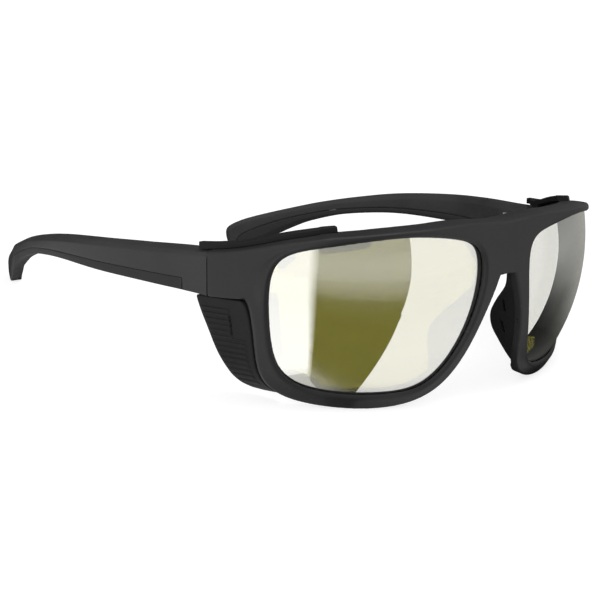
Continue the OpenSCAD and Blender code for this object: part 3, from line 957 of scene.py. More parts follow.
@dataclass(frozen=True)
class MouldedPlastic(Finish):
    """Dark matte moulded plastic with grain, edges paler from wear and from a painted highlight,
    and a little dust.
    """

    color: tuple[float, float, float] = (0.02, 0.019, 0.0195)
    # Colour of the sharp edges: partly wear, partly a painted highlight.
    edge_tone_worn_and_highlit: tuple[float, float, float] = (0.06, 0.058, 0.059)
    dust_color: tuple[float, float, float] = (0.11, 0.108, 0.105)
    rough: float = 0.5
    change: float = 0.1
    grain: float = 1600.0
    grain_height: float = 0.25
    cloud: float = 0.12
    shine: float = 0.3
    wear: float = 0.5
    wear_start: float = 0.6
    wear_polish: float = 0.2
    dust: float = 0.1
    dust_dull: float = 0.4

    def build(self) -> bpy.types.Material:
        """Builds the plastic from the shared grain, edge wear with its painted highlight, and
        dust.

        Returns:
            The new material.
        """
        material, sheet, shader = self.start()
        grain = GRAIN.place(sheet, Grain=self.grain, Patches=70.0, Rough=self.rough,
                            Change=self.change)
        wear = WEAR_AND_HIGHLIGHT.place(sheet, Start=self.wear_start, Amount=self.wear)
        dust = DUST.place(sheet, Amount=self.dust)
        cloudy = sheet.blend(grain.outputs["Cloud"],
                             tuple(c * (1 - self.cloud) for c in self.color),
                             tuple(c * (1 + self.cloud) for c in self.color))
        # Paler sharp edges: partly wear, partly a painted highlight.
        worn_and_highlit_mix = sheet.blend(wear.outputs["Mask"], cloudy, self.edge_tone_worn_and_highlit)
        dusty = sheet.blend(dust.outputs["Mask"], worn_and_highlit_mix, self.dust_color)
        sheet.link(dusty, shader.inputs["Base Color"])
        polished = sheet.math("SUBTRACT", grain.outputs["Roughness"],
                              sheet.math("MULTIPLY", wear.outputs["Mask"], self.wear_polish))
        dull = sheet.math("MULTIPLY", dust.outputs["Mask"], self.dust_dull)
        sheet.link(sheet.math("ADD", polished, dull), shader.inputs["Roughness"])
        sheet.bump(shader, grain.outputs["Height"], self.grain_height, 0.00008)
        shader.inputs["IOR"].default_value = 1.5
        shader.inputs["Specular IOR Level"].default_value = self.shine
        return material


@dataclass(frozen=True)
class SoftRubber(Finish):
    """Soft black rubber: very matte, with a faint bloom on its rounded edges that is partly a
    painted highlight.
    """

    color: tuple[float, float, float] = (0.006, 0.0058, 0.006)
    bloom_and_highlight_tone: tuple[float, float, float] = (0.045, 0.044, 0.045)
    rough: float = 0.72
    grain: float = 2600.0
    grain_height: float = 0.35
    cloud: float = 0.12
    shine: float = 0.22
    sheen: float = 0.05

    def build(self) -> bpy.types.Material:
        """Builds the rubber from the shared grain, edge wear with its painted highlight, and dust.

        Returns:
            The new material.
        """
        material, sheet, shader = self.start()
        grain = GRAIN.place(sheet, Grain=self.grain, Patches=110.0, Rough=self.rough, Change=0.12)
        wear = WEAR_AND_HIGHLIGHT.place(sheet, Amount=0.4, Breaks=400.0)
        dust = DUST.place(sheet, Amount=0.12, Specks=1500.0)
        cloud = sheet.math("MULTIPLY", grain.outputs["Cloud"], self.cloud)
        # Paler rounded edges (partly a painted highlight), dust and random cloud.
        pale = sheet.math("MAXIMUM", wear.outputs["Mask"],
                          sheet.math("ADD", dust.outputs["Mask"], cloud))
        sheet.link(sheet.blend(pale, self.color, self.bloom_and_highlight_tone), shader.inputs["Base Color"])
        sheet.link(grain.outputs["Roughness"], shader.inputs["Roughness"])
        sheet.bump(shader, grain.outputs["Height"], self.grain_height, 0.00006)
        shader.inputs["Specular IOR Level"].default_value = self.shine
        shader.inputs["Sheen Weight"].default_value = self.sheen
        shader.inputs["Sheen Roughness"].default_value = 0.5
        return material


@dataclass(frozen=True)
class MirroredLens(Finish):
    """Yellow-green lens with a silver flash coat.

    The coat is a high index of refraction: about seven tenths of the light come
    back without colour, and what passes both faces takes on the tint.
    """

    tint: tuple[float, float, float] = (0.62, 0.575, 0.1)
    index: float = 12.0
    rough: float = 0.004

    def build(self) -> bpy.types.Material:
        """Builds the lens with a very slight unevenness of its tint and polish.

        Returns:
            The new material.
        """
        material, sheet, shader = self.start()
        place = sheet.object_place()
        slow = sheet.add("ShaderNodeTexNoise", Scale=35.0, Detail=2.0)
        wipe = sheet.add("ShaderNodeTexNoise", Scale=420.0, Detail=4.0, Roughness=0.6)
        for node in (slow, wipe):
            sheet.link(place, node.inputs["Vector"])
        tinted = sheet.blend(slow.outputs["Fac"], tuple(c * 0.97 for c in self.tint), self.tint)
        sheet.link(tinted, shader.inputs["Base Color"])
        sheet.link(sheet.spread(wipe.outputs["Fac"], 0.55, 0.8, self.rough, self.rough * 3),
                   shader.inputs["Roughness"])
        shader.inputs["IOR"].default_value = self.index
        shader.inputs["Transmission Weight"].default_value = 1.0
        return material


@dataclass(frozen=True)
class BrushedSteel(Finish):
    """Stainless steel of the hinges and screws."""

    color: tuple[float, float, float] = (0.55, 0.56, 0.58)

    def build(self) -> bpy.types.Material:
        """Builds the steel from the shared brush marks and grain.

        Returns:
            The new material.
        """
        material, sheet, shader = self.start()
        marks = BRUSHED.place(sheet, Rough=0.3, Change=0.2)
        grain = GRAIN.place(sheet, Grain=3000.0, Patches=300.0, Rough=0.3, Change=0.1)
        tarnished = sheet.blend(grain.outputs["Cloud"], tuple(c * 0.8 for c in self.color),
                                self.color)
        sheet.link(tarnished, shader.inputs["Base Color"])
        sheet.link(marks.outputs["Roughness"], shader.inputs["Roughness"])
        sheet.bump(shader, marks.outputs["Height"], 0.2, 0.00003)
        shader.inputs["Metallic"].default_value = 1.0
        return material


FRAME_PLASTIC = MouldedPlastic("frame_matte_plastic")
SHIELD_PLASTIC = MouldedPlastic("shield_matte_plastic", color=(0.006, 0.0058, 0.006),
                                edge_tone_worn_and_highlit=(0.035, 0.034, 0.035), rough=0.58, shine=0.22, wear=0.4)
# Lighter copy of the frame plastic for the temples: paints the brighter light on their sides.
PAINTED_LIGHT_TEMPLE = MouldedPlastic("temple_plastic_painted_lighter", color=(0.032, 0.0305, 0.0312))
# Darker copy of the rubber for the pads: paints the shade that falls on them by the nose.
PAINTED_SHADE_PAD = SoftRubber("pad_rubber_painted_darker", color=(0.003, 0.003, 0.003),
                        bloom_and_highlight_tone=(0.02, 0.0197, 0.02))
GRIP_RUBBER = SoftRubber("grip_rubber", color=(0.023, 0.0225, 0.023), rough=0.6)
FLASH_LENS = MirroredLens("flash_coated_lens")
HINGE_STEEL = BrushedSteel("hinge_stainless_steel")


def settle_piece(obj: bpy.types.Object, name: str, placement: Placement, finish: Finish,
                 body: Body, slot: Slot, nodes: Sequence[str], sharp: float = 40.0) -> None:
    """Puts a finished mesh in its place, hides the nodes that it stands for and logs them.

    Args:
        obj: The object, its mesh still in worn millimetres.
        name: The piece's name.
        placement: Where the worn frame lies.
        finish: The piece's finish.
        body: The body that it rides on.
        slot: Not used.
        nodes: The nodes that it stands for.
        sharp: Angle in degrees from which an edge stays crisp.
    """
    obj.name = obj.data.name = name
    obj.data.transform(placement.matrix)
    obj.data.materials.clear()
    obj.data.materials.append(finish.material())
    obj.data.polygons.foreach_set("use_smooth", [True] * len(obj.data.polygons))
    obj.data.set_sharp_from_angle(angle=math.radians(sharp))
    obj.data.update()
    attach(obj, body.value)
    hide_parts(*nodes)
    LOG.info("%s: %d faces, stands for %s", name, len(obj.data.polygons), ", ".join(nodes))


def flip(rings: Sequence[Ring], side: Side) -> list[Ring]:
    """Rings of the left side, or their mirror image for the right one."""
    return [[Vector((p.x * side.value, p.y, p.z)) for p in ring] for ring in rings]


@dataclass(frozen=True)
class NoseBlade:
    """The surface along the nose that carries the rubber pads."""

    pad_t: float = 1.6
    pad_gap: float = 0.05
    blade_t: float = 1.75
    blade_short: float = 3.0
    # Height, then sideways place and depth of the front edge and of the back edge.
    rows: tuple[tuple[float, float, float, float, float], ...] = (
        (6.6, 5.2, 2.6, 7.2, 5.2), (2.5, 6.9, 1.9, 9.8, 7.8), (-2, 8.1, 1.8, 11.6, 12.2),
        (-6, 9.3, 2.3, 13.1, 15.3), (-10, 11.0, 3.5, 13.9, 15.5), (-14, 13.2, 5.2, 15.3, 14.1),
        (-17.5, 15.8, 7.4, 17, 12.9), (-19.8, 17.9, 9.1, 18.6, 12.3))
    round_share: float = 0.42
    round_steps: int = 5
    stations: int = 60

    def ring(self, t: float, inset: float, thick: float, grow: float, shorten: float) -> Ring:
        """One level section of a blade or pad.

        Args:
            t: Place along the rows.
            inset: How far the blade lies behind the nose's surface.
            thick: Thickness.
            grow: How much it is grown all round.
            shorten: How much its back edge is cut short.

        Returns:
            The section's corners.
        """
        z, fx, fy, bx, by = through(self.rows, t)
        f, b = Vector((fx, fy)), Vector((bx, by))
        d = (b - f).normalized()
        n = Vector((d.y, -d.x))
        z += (grow if t < 0.01 else 0) - (grow if t > len(self.rows) - 1.01 else 0)
        f0 = f + n * (inset - grow) - d * grow
        b0 = b + n * (inset - grow) + d * (grow - shorten)
        w = thick + 2 * grow
        corners = (f0, b0, b0 + n * w, f0 + n * w)
        bows = rounded(list(corners), self.round_share * w, self.round_steps)
        return [Vector((p.x, p.y, z)) for p in bows]

    def solid(self, name: str, side: Side, inset: float, thick: float, grow: float = 0.0,
              shorten: float = 0.0) -> bpy.types.Object:
        """Closed mesh of a blade, pad or pocket.

        Args:
            name: Name of the new object.
            side: The wearer's side.
            inset: How far it lies behind the nose's surface.
            thick: Thickness.
            grow: How much it is grown all round.
            shorten: How much its back edge is cut short.

        Returns:
            The new object.
        """
        last = len(self.rows) - 1
        return MeshShop.skin(name, flip(
            [self.ring(i * last / self.stations, inset, thick, grow, shorten)
             for i in range(self.stations + 1)], side))


@dataclass(frozen=True)
class Lenses:
    """The two lenses and the space that they take in the rims' grooves."""

    form: FrontForm
    thick: float = 2.0
    grip: float = 1.0
    gap: float = 0.1
    # Places of the faces' rings between the middle, at 0, and the edge, at 1.
    shares: tuple[float, ...] = (1, 0.985, 0.96, 0.92, 0.86, 0.78, 0.7, 0.6, 0.5, 0.4, 0.3,
                                 0.2, 0.11, 0.04)

    def solid(self, name: str, side: Side, grow: float = 0.0,
              inset: float = 0.0) -> bpy.types.Object:
        """Closed mesh of a lens, or of the room round it.

        Args:
            name: Name of the new object.
            side: The wearer's side.
            grow: How much it is grown all round.
            inset: How far its outline is drawn in.

        Returns:
            The new object.
        """
        opening = self.form.opening()
        outline = [p + (self.grip + grow - inset) * n
                   for p, n in zip(opening, self.form.outward(opening))]
        middle = Vector((self.form.lens_mid, 0.0))

        def layer(h: float) -> list[Ring]:
            """Rings of one face, from its edge to its middle."""
            return [[self.form.over_lens(*(middle + s * (p - middle)), h) for p in outline]
                    for s in self.shares]

        front, back = layer(grow), layer(-self.thick - grow)
        return MeshShop.skin(name, flip(front[::-1] + back, side))

    def build(self, placement: Placement) -> None:
        """Builds and dresses both lenses.

        Args:
            placement: Where the worn frame lies.
        """
        for side in Side:
            settle_piece(self.solid("lens", side), f"{side.word}_curved_lens", placement,
                         FLASH_LENS, Body.FRONT, Slot.LENS, (f"{side.word}_lens",), sharp=50)


@dataclass(frozen=True)
class MouldedFront:
    """The one-piece front: rims, brow bar, end pieces, nose blades and lens tabs."""

    form: FrontForm
    blade: NoseBlade
    lenses: Lenses
    rim_depth: float = 4.6
    rim_bevel: float = 0.7
    rim_round: float = 0.7
    rim_blend: tuple[float, float] = (-1.0, 7.0)
    rim_sink: float = 0.15
    lip_w: float = 2.4
    brow_depth: float = 8.4
    wall_turn: float = 0.65
    nose_seat: float = 2.2
    low_seat: float = 3.6
    panel_seat: float = 1.3
    shield_t: float = 1.5
    tab_reach: float = 1.6
    tab_t: float = 1.4
    tab_gap: float = 0.2
    # Where each tab begins and ends, as shares of the opening's outline.
    tab_shares: tuple[tuple[float, float], ...] = (
        (0.285, 0.345), (0.385, 0.43), (0.475, 0.57), (0.6, 0.655))
    # Clear room in front of and behind a lens, and how far it stays inside the lens's edge.
    view_gap: float = 0.5
    view_inset: float = 3.2
    pocket_t: float = 4.0
    pocket_gap: float = 0.1
    leaf_room: tuple[float, float] = (6.7, 0.5)
    face_steps: int = 8
    face_rise: int = 6
    top_depths: tuple[float, ...] = (0.35, 1.5, 2.7, 3.9)
    tab_steps: int = 8
    bar_stations: int = 48
    turn_stations: int = 32
    turn_samples: int = 10
    voxel: float = 0.3
    smoothing: int = 4

    def back_dir(self, p: Vector) -> Vector:
        """Direction of the rim's outer wall, between the lens's radius and straight back."""
        n = self.form.over_front(p.x, p.y, 0) - self.form.over_front(p.x, p.y, 1)
        return ((1 - self.wall_turn) * n + Vector((0, self.wall_turn, 0))).normalized()

    def wall_depth(self, out: Vector) -> float:
        """Depth of the rim's outer wall for an outward direction."""
        return lookup(((-0.5, self.nose_seat), (0.1, self.low_seat), (0.3, self.low_seat),
                       (0.6, self.panel_seat)), out.x)

    def rim_point(self, p: Vector, h: float) -> Vector:
        """Point over the rim's front, which runs into the end piece's face.

        Args:
            p: Place in x and z.
            h: Height over the lens's ball.

        Returns:
            The point in the worn frame.
        """
        form = self.form
        w = step_up(p.y, *self.rim_blend) if p.x > form.turn_x else 0.0
        ball = form.over_front(p.x, p.y, h)
        if w == 0:
            return ball
        shares = [i / self.turn_samples for i in range(self.turn_samples + 1)]
        turn = [(form.turn_point(share, p.y).x, share) for share in shares]
        bar = form.bar_point(1 + lookup(turn, p.x), p.y, form.rim_front + self.rim_sink - h)
        return (1 - w) * ball + w * bar

    def rim_rings(self) -> list[Ring]:
        """Sections of the left rim, one at each station of its opening.

        Returns:
            Closed rings in order round the opening.
        """
        form, rings = self.form, []
        opening, edge = form.opening(), form.rim_edge()
        for a, o, out in zip(opening, edge, form.outward(opening)):
            w = (o - a).length
            across = (o - a) / w
            e = min(self.rim_round, w * 0.3)
            bevel = a + self.rim_bevel * out
            shoulder = o - e * across
            wall = self.rim_point(o, form.rim_front - e)
            deep = self.wall_depth(out)
            seat = min(self.shield_t + 0.3, w * 0.5)
            foot = wall + self.back_dir(o) * (deep - 0.4 * e)
            front = []
            for i in range(self.face_steps + 1):
                p = bevel.lerp(shoulder, i / self.face_steps)
                lip = step_up((p - a).length, self.rim_bevel, self.lip_w)
                front.append(form.over_front(*p, form.rim_front).lerp(
                    self.rim_point(p, form.rim_front), lip))
            corner = self.rim_point(o - 0.3 * e * across, form.rim_front - 0.3 * e)
            rings.append(
                [form.over_front(*a, form.rim_front - self.rim_bevel)] + front
                + [corner, wall, foot, foot - seat * Vector((across.x, 0, across.y)),
                   form.over_front(*(a + e * out), -self.rim_depth),
                   form.over_front(*a, e - self.rim_depth),
                   form.over_front(*a, -0.5 * self.rim_depth)])
        return rings

    def bar_ring(self, s: float) -> Ring:
        """Section of the brow bar at a plan station.

        Args:
            s: Plan station.

        Returns:
            The section's points in order.
        """
        form = self.form
        x = form.station_x(s)
        zr, zc, zb = form.ridge_z(x), form.crest_z(s), form.under_z(x)
        share = max(min(s - 1, 1.0), 0.0)
        depth = self.brow_depth + (form.end_t - self.brow_depth) * share
        e = min(self.rim_round, (zr - zb) * 0.3)
        rise = self.face_rise
        face = [(zb + e + (zr - 0.4 - zb - e) * i / rise, 0) for i in range(rise + 1)]
        top = [(form.top_z(s, d), d) for d in (*self.top_depths, form.crest_back)]
        back = zc - 0.1
        rest = [(back, depth - e), (back - 0.3 * e, depth - 0.3 * e), (back - e, depth),
                (zb + e, depth), (zb + 0.3 * e, depth - 0.3 * e), (zb, depth - e),
                (zb, e), (zb + 0.3 * e, 0.3 * e)]
        return [form.bar_point(s, z, d) for z, d in face + top + rest]

    def bar(self) -> bpy.types.Object:
        """Closed mesh of the brow bar from hinge to hinge.

        Returns:
            The new object.
        """
        half = ([self.bar_ring(i / self.bar_stations) for i in range(self.bar_stations)]
                + [self.bar_ring(1 + i / self.turn_stations)
                   for i in range(self.turn_stations + 1)])
        mirrored = flip(half[:0:-1], Side.RIGHT)
        return MeshShop.skin("brow_bar", mirrored + half)

    def tab(self, side: Side, share: tuple[float, float]) -> bpy.types.Object:
        """Closed mesh of a tab that holds a lens in its groove.

        Args:
            side: The wearer's side.
            share: Where the tab begins and ends, as shares of the opening.

        Returns:
            The new object.
        """
        opening = self.form.opening()
        out = self.form.outward(opening)
        n = len(opening)
        rings = []
        grip, deep = self.lenses.grip, -self.lenses.thick - self.tab_gap
        for i in range(self.tab_steps + 1):
            along = i / self.tab_steps
            k = round((share[0] + (share[1] - share[0]) * along) * n) % n
            reach = self.tab_reach * (1 - 0.25 * abs(2 * along - 1) ** 4)
            corners = [self.form.over_lens(*(opening[k] + r * out[k]), h)
                       for r, h in ((-reach, deep), (grip, deep), (grip, deep - self.tab_t),
                                    (-reach, deep - self.tab_t))]
            rings.append(rounded(corners, 0.3, 2))
        return MeshShop.skin("lens_tab", flip(rings, side))

    def pocket(self, side: Side) -> bpy.types.Object:
        """Block that makes room for the hinge inside an end piece.

        Args:
            side: The wearer's side.

        Returns:
            The new object.
        """
        form, gap = self.form, self.pocket_gap
        x = sorted((side.value * (form.leaf_x - self.pocket_t), side.value * form.leaf_x))
        return MeshShop.box(
            "leaf_pocket", (x[0], form.hinge_y - self.leaf_room[0], form.hinge_z - gap),
            (x[1], form.hinge_y + self.leaf_room[1], form.hinge_z + form.hinge_h + gap))

    def build(self, placement: Placement) -> None:
        """Builds the front as one skin and dresses it.

        Args:
            placement: Where the worn frame lies.
        """
        front = self.bar()
        for side in Side:
            MeshShop.merge(front, [
                MeshShop.skin("rim", flip(self.rim_rings(), side), closed=True),
                self.blade.solid("blade", side, self.blade.pad_t, self.blade.blade_t,
                                 shorten=self.blade.blade_short),
                *(self.tab(side, share) for share in self.tab_shares)], Merge.ADD)
            MeshShop.merge(front, [
                self.lenses.solid("groove", side, self.lenses.gap),
                self.lenses.solid("view", side, self.view_gap, self.view_inset),
                self.blade.solid("pad_seat", side, 0.0, self.blade.pad_t, self.blade.pad_gap),
                self.pocket(side)], Merge.CUT)
        MeshShop.recast(front, self.voxel, self.smoothing)
        settle_piece(front, "moulded_front", placement, FRAME_PLASTIC, Body.FRONT, Slot.FRAME,
                     ("front_frame",), sharp=60)


@dataclass(frozen=True)
class NosePads:
    """Soft rubber pads with vent slots."""

    blade: NoseBlade
    slot_z: tuple[float, float] = (-3.2, -9.4)
    slot_share: float = 0.56
    slot_w: float = 1.0
    slot_len: float = 3.5
    slot_reach: float = 1.5
    slot_points: int = 24
    voxel: float = 0.16
    smoothing: int = 4

    def slot(self, side: Side, z: float) -> bpy.types.Object:
        """Cutting block of one vent slot, with round ends.

        Args:
            side: The wearer's side.
            z: Height of the slot's middle.

        Returns:
            The new object.
        """
        rows = self.blade.rows
        t = lookup([(-row[0], float(i)) for i, row in enumerate(rows)], -z)
        _, fx, fy, bx, by = through(rows, t)
        d = Vector((bx - fx, by - fy)).normalized()
        n = Vector((d.y, -d.x))
        middle = Vector((fx, fy)).lerp(Vector((bx, by)), self.slot_share)
        rings = []
        for depth in (-self.slot_reach, self.slot_reach):
            ring = []
            for k in range(self.slot_points):
                turn = 2 * math.pi * k / self.slot_points
                across, up = math.cos(turn) * self.slot_w / 2, math.sin(turn) * self.slot_w / 2
                up += math.copysign((self.slot_len - self.slot_w) / 2, up)
                p = middle + across * d + depth * self.blade.pad_t * n
                ring.append(Vector((p.x, p.y, z + up)))
            rings.append(ring)
        return MeshShop.skin("vent_slot", flip(rings, side))

    def build(self, placement: Placement) -> None:
        """Builds and dresses both pads.

        Args:
            placement: Where the worn frame lies.
        """
        for side in Side:
            pad = self.blade.solid("pad", side, 0.0, self.blade.pad_t)
            MeshShop.merge(pad, [self.slot(side, z) for z in self.slot_z], Merge.CUT)
            MeshShop.recast(pad, self.voxel, self.smoothing)
            settle_piece(pad, f"{side.word}_rubber_pad", placement, PAINTED_SHADE_PAD, Body.FRONT,
                         Slot.RUBBER, (f"{side.word}_nose_pad",), sharp=60)


@dataclass(frozen=True)
class SideShields:
    """Ribbed side panels with a brow wing and the wall that joins them."""

    form: FrontForm
    front: MouldedFront
    thick: float = 1.5
    top: float = 4.7
    low: float = -21.0
    seam: float = 0.45
    seam_rise: float = 0.09
    rim_span: tuple[float, float] = (0.66, 0.44)
    gap: float = 0.15
    # Height as a share of the panel's lowest, and depth of the back edge from the hinge.
    back_rows: Table = (
        (-1, -9), (-0.99, -6.2), (-0.962, -3), (-0.905, -0.6), (-0.81, 0.9), (-0.676, 2),
        (-0.524, 3.15), (-0.38, 4), (-0.214, 4.9), (0.01, 6.3), (0.19, 7.1), (0.3, 7.4))
    rib_pitch: float = 1.5
    rib_h: float = 0.24
    rib_start: float = 2.6
    # Each pair is where a step of the relief begins and ends, measured from an edge for the
    # plain borders and in height for the patch and the slot.
    plain_front: tuple[float, float] = (1.6, 2.6)
    plain_back: tuple[float, float] = (0.7, 1.4)
    plain_top: tuple[float, float] = (2.4, 3.0)
    plain_low: tuple[float, float] = (1.2, 2.4)
    patch_end: tuple[float, float] = (6.4, 6.8)
    patch_foot: tuple[float, float] = (-6.3, -5.9)
    slot_place: float = 6.9
    slot_half: float = 0.28
    slot_foot: tuple[float, float] = (-5.4, -5.1)
    slot_head: tuple[float, float] = (-0.2, 0.1)
    slot_depth: float = 0.5
    groove_z: float = -6.4
    groove_half: float = 0.22
    groove_depth: float = 0.22
    edge_r: float = 0.5
    front_corner: float = 2.0
    back_corner: float = 1.0
    tip_w: float = 0.8
    top_crowding: float = 0.06
    wing_t: float = 1.3
    wing_sink: float = 0.05
    wing_soft: float = 0.3
    wall_rise: float = 0.4
    wall_share: float = 0.8
    shelf_front: float = 2.6
    tuck: float = 0.02
    # Plan station, and distance of the wing's two edges behind the brow's face.
    wing_edge: Table = ((0.9, 5.7), (1.05, 5), (1.3, 4.2), (1.65, 3.2), (2, 2), (2.3, 0.9))
    wing_inner: Table = ((0.9, 8.6), (1.1, 9.6), (1.4, 10), (1.7, 9.6), (1.9, 7.4), (2.1, 4.6),
                         (2.3, 2.8))
    wing_span: tuple[float, float] = (0.93, 2.27)
    wall_span: tuple[float, float] = (1.62, 1.72)
    foot_steps: int = 6
    wing_stations: int = 90
    wall_stations: int = 8
    rows: int = 200
    columns: int = 90

    def rim_side(self) -> list[tuple[float, float, float]]:
        """Height, sideways place and depth of the rim's outer wall, from low to high.

        Returns:
            One group of the three for each point.
        """
        form, edge = self.form, self.form.rim_edge()
        n = len(edge)
        side = []
        out = form.outward(form.opening())
        first, last = (round(n * share) for share in self.rim_span)
        for k in range(first, last - 1, -1):
            p = (form.over_front(*edge[k], form.rim_front - self.front.rim_round)
                 + self.front.back_dir(edge[k]) * self.front.wall_depth(out[k]))
            side.append((p.z, p.x, p.y))
        return side

    def panel_back(self, z: float) -> float:
        """Depth of the panel's back edge at a height."""
        return self.form.hinge_y + smooth_lookup(self.back_rows, -z / self.low)

    def relief(self, z: float, y: float, yf: float, yb: float) -> float:
        """Height of ribs, smooth patch and slot at a point of the panel.

        Args:
            z: Height of the point.
            y: Depth of the point.
            yf: Depth of the panel's front edge there.
            yb: Depth of the panel's back edge there.

        Returns:
            How far the surface stands out, negative in the slot.
        """
        front, back = y - yf, yb - y
        phase = ((self.top - self.rib_start - z) / self.rib_pitch) % 1.0
        rib = step_up(phase, 0.1, 0.3) * step_up(1 - phase, 0.1, 0.3)
        inside = step_up(front, *self.plain_front) * step_up(back, *self.plain_back)
        levels = step_up(self.top - z, *self.plain_top) * step_up(z - self.low, *self.plain_low)
        patch = step_up(z, *self.patch_foot) * (1 - step_up(front, *self.patch_end))
        slot = (step_up(self.slot_half - abs(front - self.slot_place), 0.0, 0.16)
                * step_up(z, *self.slot_foot) * step_up(-z, *self.slot_head))
        groove = step_up(self.groove_half - abs(z - self.groove_z), 0.0, 0.14) * inside
        return (self.rib_h * rib * inside * levels * (1 - patch) - self.slot_depth * slot
                - self.groove_depth * groove)

    def panel_rings(self) -> list[Ring]:
        """Level sections of the left panel from its tip to its top.

        Returns:
            The sections in order.
        """
        side = self.rim_side()
        place_x = [(z, x) for z, x, _ in side]
        place_y = [(z, y) for z, _, y in side]
        rings = []
        for i in range(self.rows + 1):
            share = i / self.rows
            crowded = share - self.top_crowding * math.sin(math.pi * share)
            z = self.low + (self.top - self.low) * crowded
            drop = self.top - z
            yf = (lookup(place_y, z) + self.seam + max(z, 0.0) * self.seam_rise
                  + edge_drop(drop, self.front_corner))
            yb = max(self.panel_back(z) - edge_drop(drop, self.back_corner), yf + self.tip_w)
            x0 = lookup(place_x, z)
            ring = []
            for j in range(self.columns + 1):
                y = yf + (yb - yf) * j / self.columns
                rim = min(y - yf, yb - y, drop, z - self.low)
                drawn_in = edge_drop(rim, min(self.edge_r, (yb - yf) / 3))
                ring.append(Vector((x0 - drawn_in + self.relief(z, y, yf, yb), y, z)))
            ring += [Vector((x0 - self.thick, yb, z)), Vector((x0 - self.thick, yf, z))]
            rings.append(ring)
        return rings

    def wing_ring(self, s: float) -> Ring:
        """Section of the wing, whose underside follows the brow's top face.

        Args:
            s: Plan station.

        Returns:
            The section's points in order.
        """
        form = self.form
        d0, d1 = smooth_lookup(self.wing_edge, s), smooth_lookup(self.wing_inner, s)
        roof = form.crest_z(min(s, 2.0)) + self.gap + self.wing_t
        depths = [d0 + (d1 - d0) * k / self.foot_steps for k in range(self.foot_steps, -1, -1)]
        foot = [form.bar_point(s, form.top_z(s, d) - self.wing_sink, d) for d in depths]
        roof_ends = [form.bar_point(s, roof, d0), form.bar_point(s, roof, d1)]
        return rounded(roof_ends + foot, self.wing_soft, 4)

    def wall_ring(self, s: float) -> Ring:
        """Section of the wall inside the end piece.

        Args:
            s: Plan station.

        Returns:
            The section's points in order.
        """
        z0, z1 = self.top - self.thick, self.form.crest_z(s) + self.gap + self.wall_rise
        d0 = self.front.brow_depth + self.gap
        d1 = d0 + self.thick * self.wall_share
        return [self.form.bar_point(s, z, d) for z, d in ((z0, d0), (z1, d0), (z1, d1), (z0, d1))]

    def shelf_ring(self, s: float) -> Ring:
        """Section of the shelf under the end piece.

        Args:
            s: Plan station.

        Returns:
            The section's points in order.
        """
        z0, z1 = self.top - self.thick + self.tuck, self.top - self.tuck
        d0 = self.shelf_front
        d1 = self.front.brow_depth + self.gap + self.thick * self.wall_share - 1.5 * self.tuck
        return [self.form.bar_point(s, z, d) for z, d in ((z0, d0), (z1, d0), (z1, d1), (z0, d1))]

    def span(self, name: str, side: Side, section: Callable[[float], Ring],
             ends: tuple[float, float], count: int) -> bpy.types.Object:
        """Closed mesh over sections between two plan stations."""
        return MeshShop.skin(name, flip(
            [section(ends[0] + (ends[1] - ends[0]) * i / count) for i in range(count + 1)], side))

    def build(self, placement: Placement) -> None:
        """Builds and dresses both shields.

        Args:
            placement: Where the worn frame lies.
        """
        for side in Side:
            shield = MeshShop.skin("panel", flip(self.panel_rings(), side))
            MeshShop.merge(shield, [
                self.span("shelf", side, self.shelf_ring, self.wall_span, self.wall_stations),
                self.span("wall", side, self.wall_ring, self.wall_span, self.wall_stations),
                self.span("wing", side, self.wing_ring, self.wing_span, self.wing_stations)],
                Merge.ADD)
            settle_piece(shield, f"{side.word}_ribbed_shield", placement, SHIELD_PLASTIC,
                         Body.FRONT, Slot.SHIELD, (f"{side.word}_side_shield",), sharp=42)


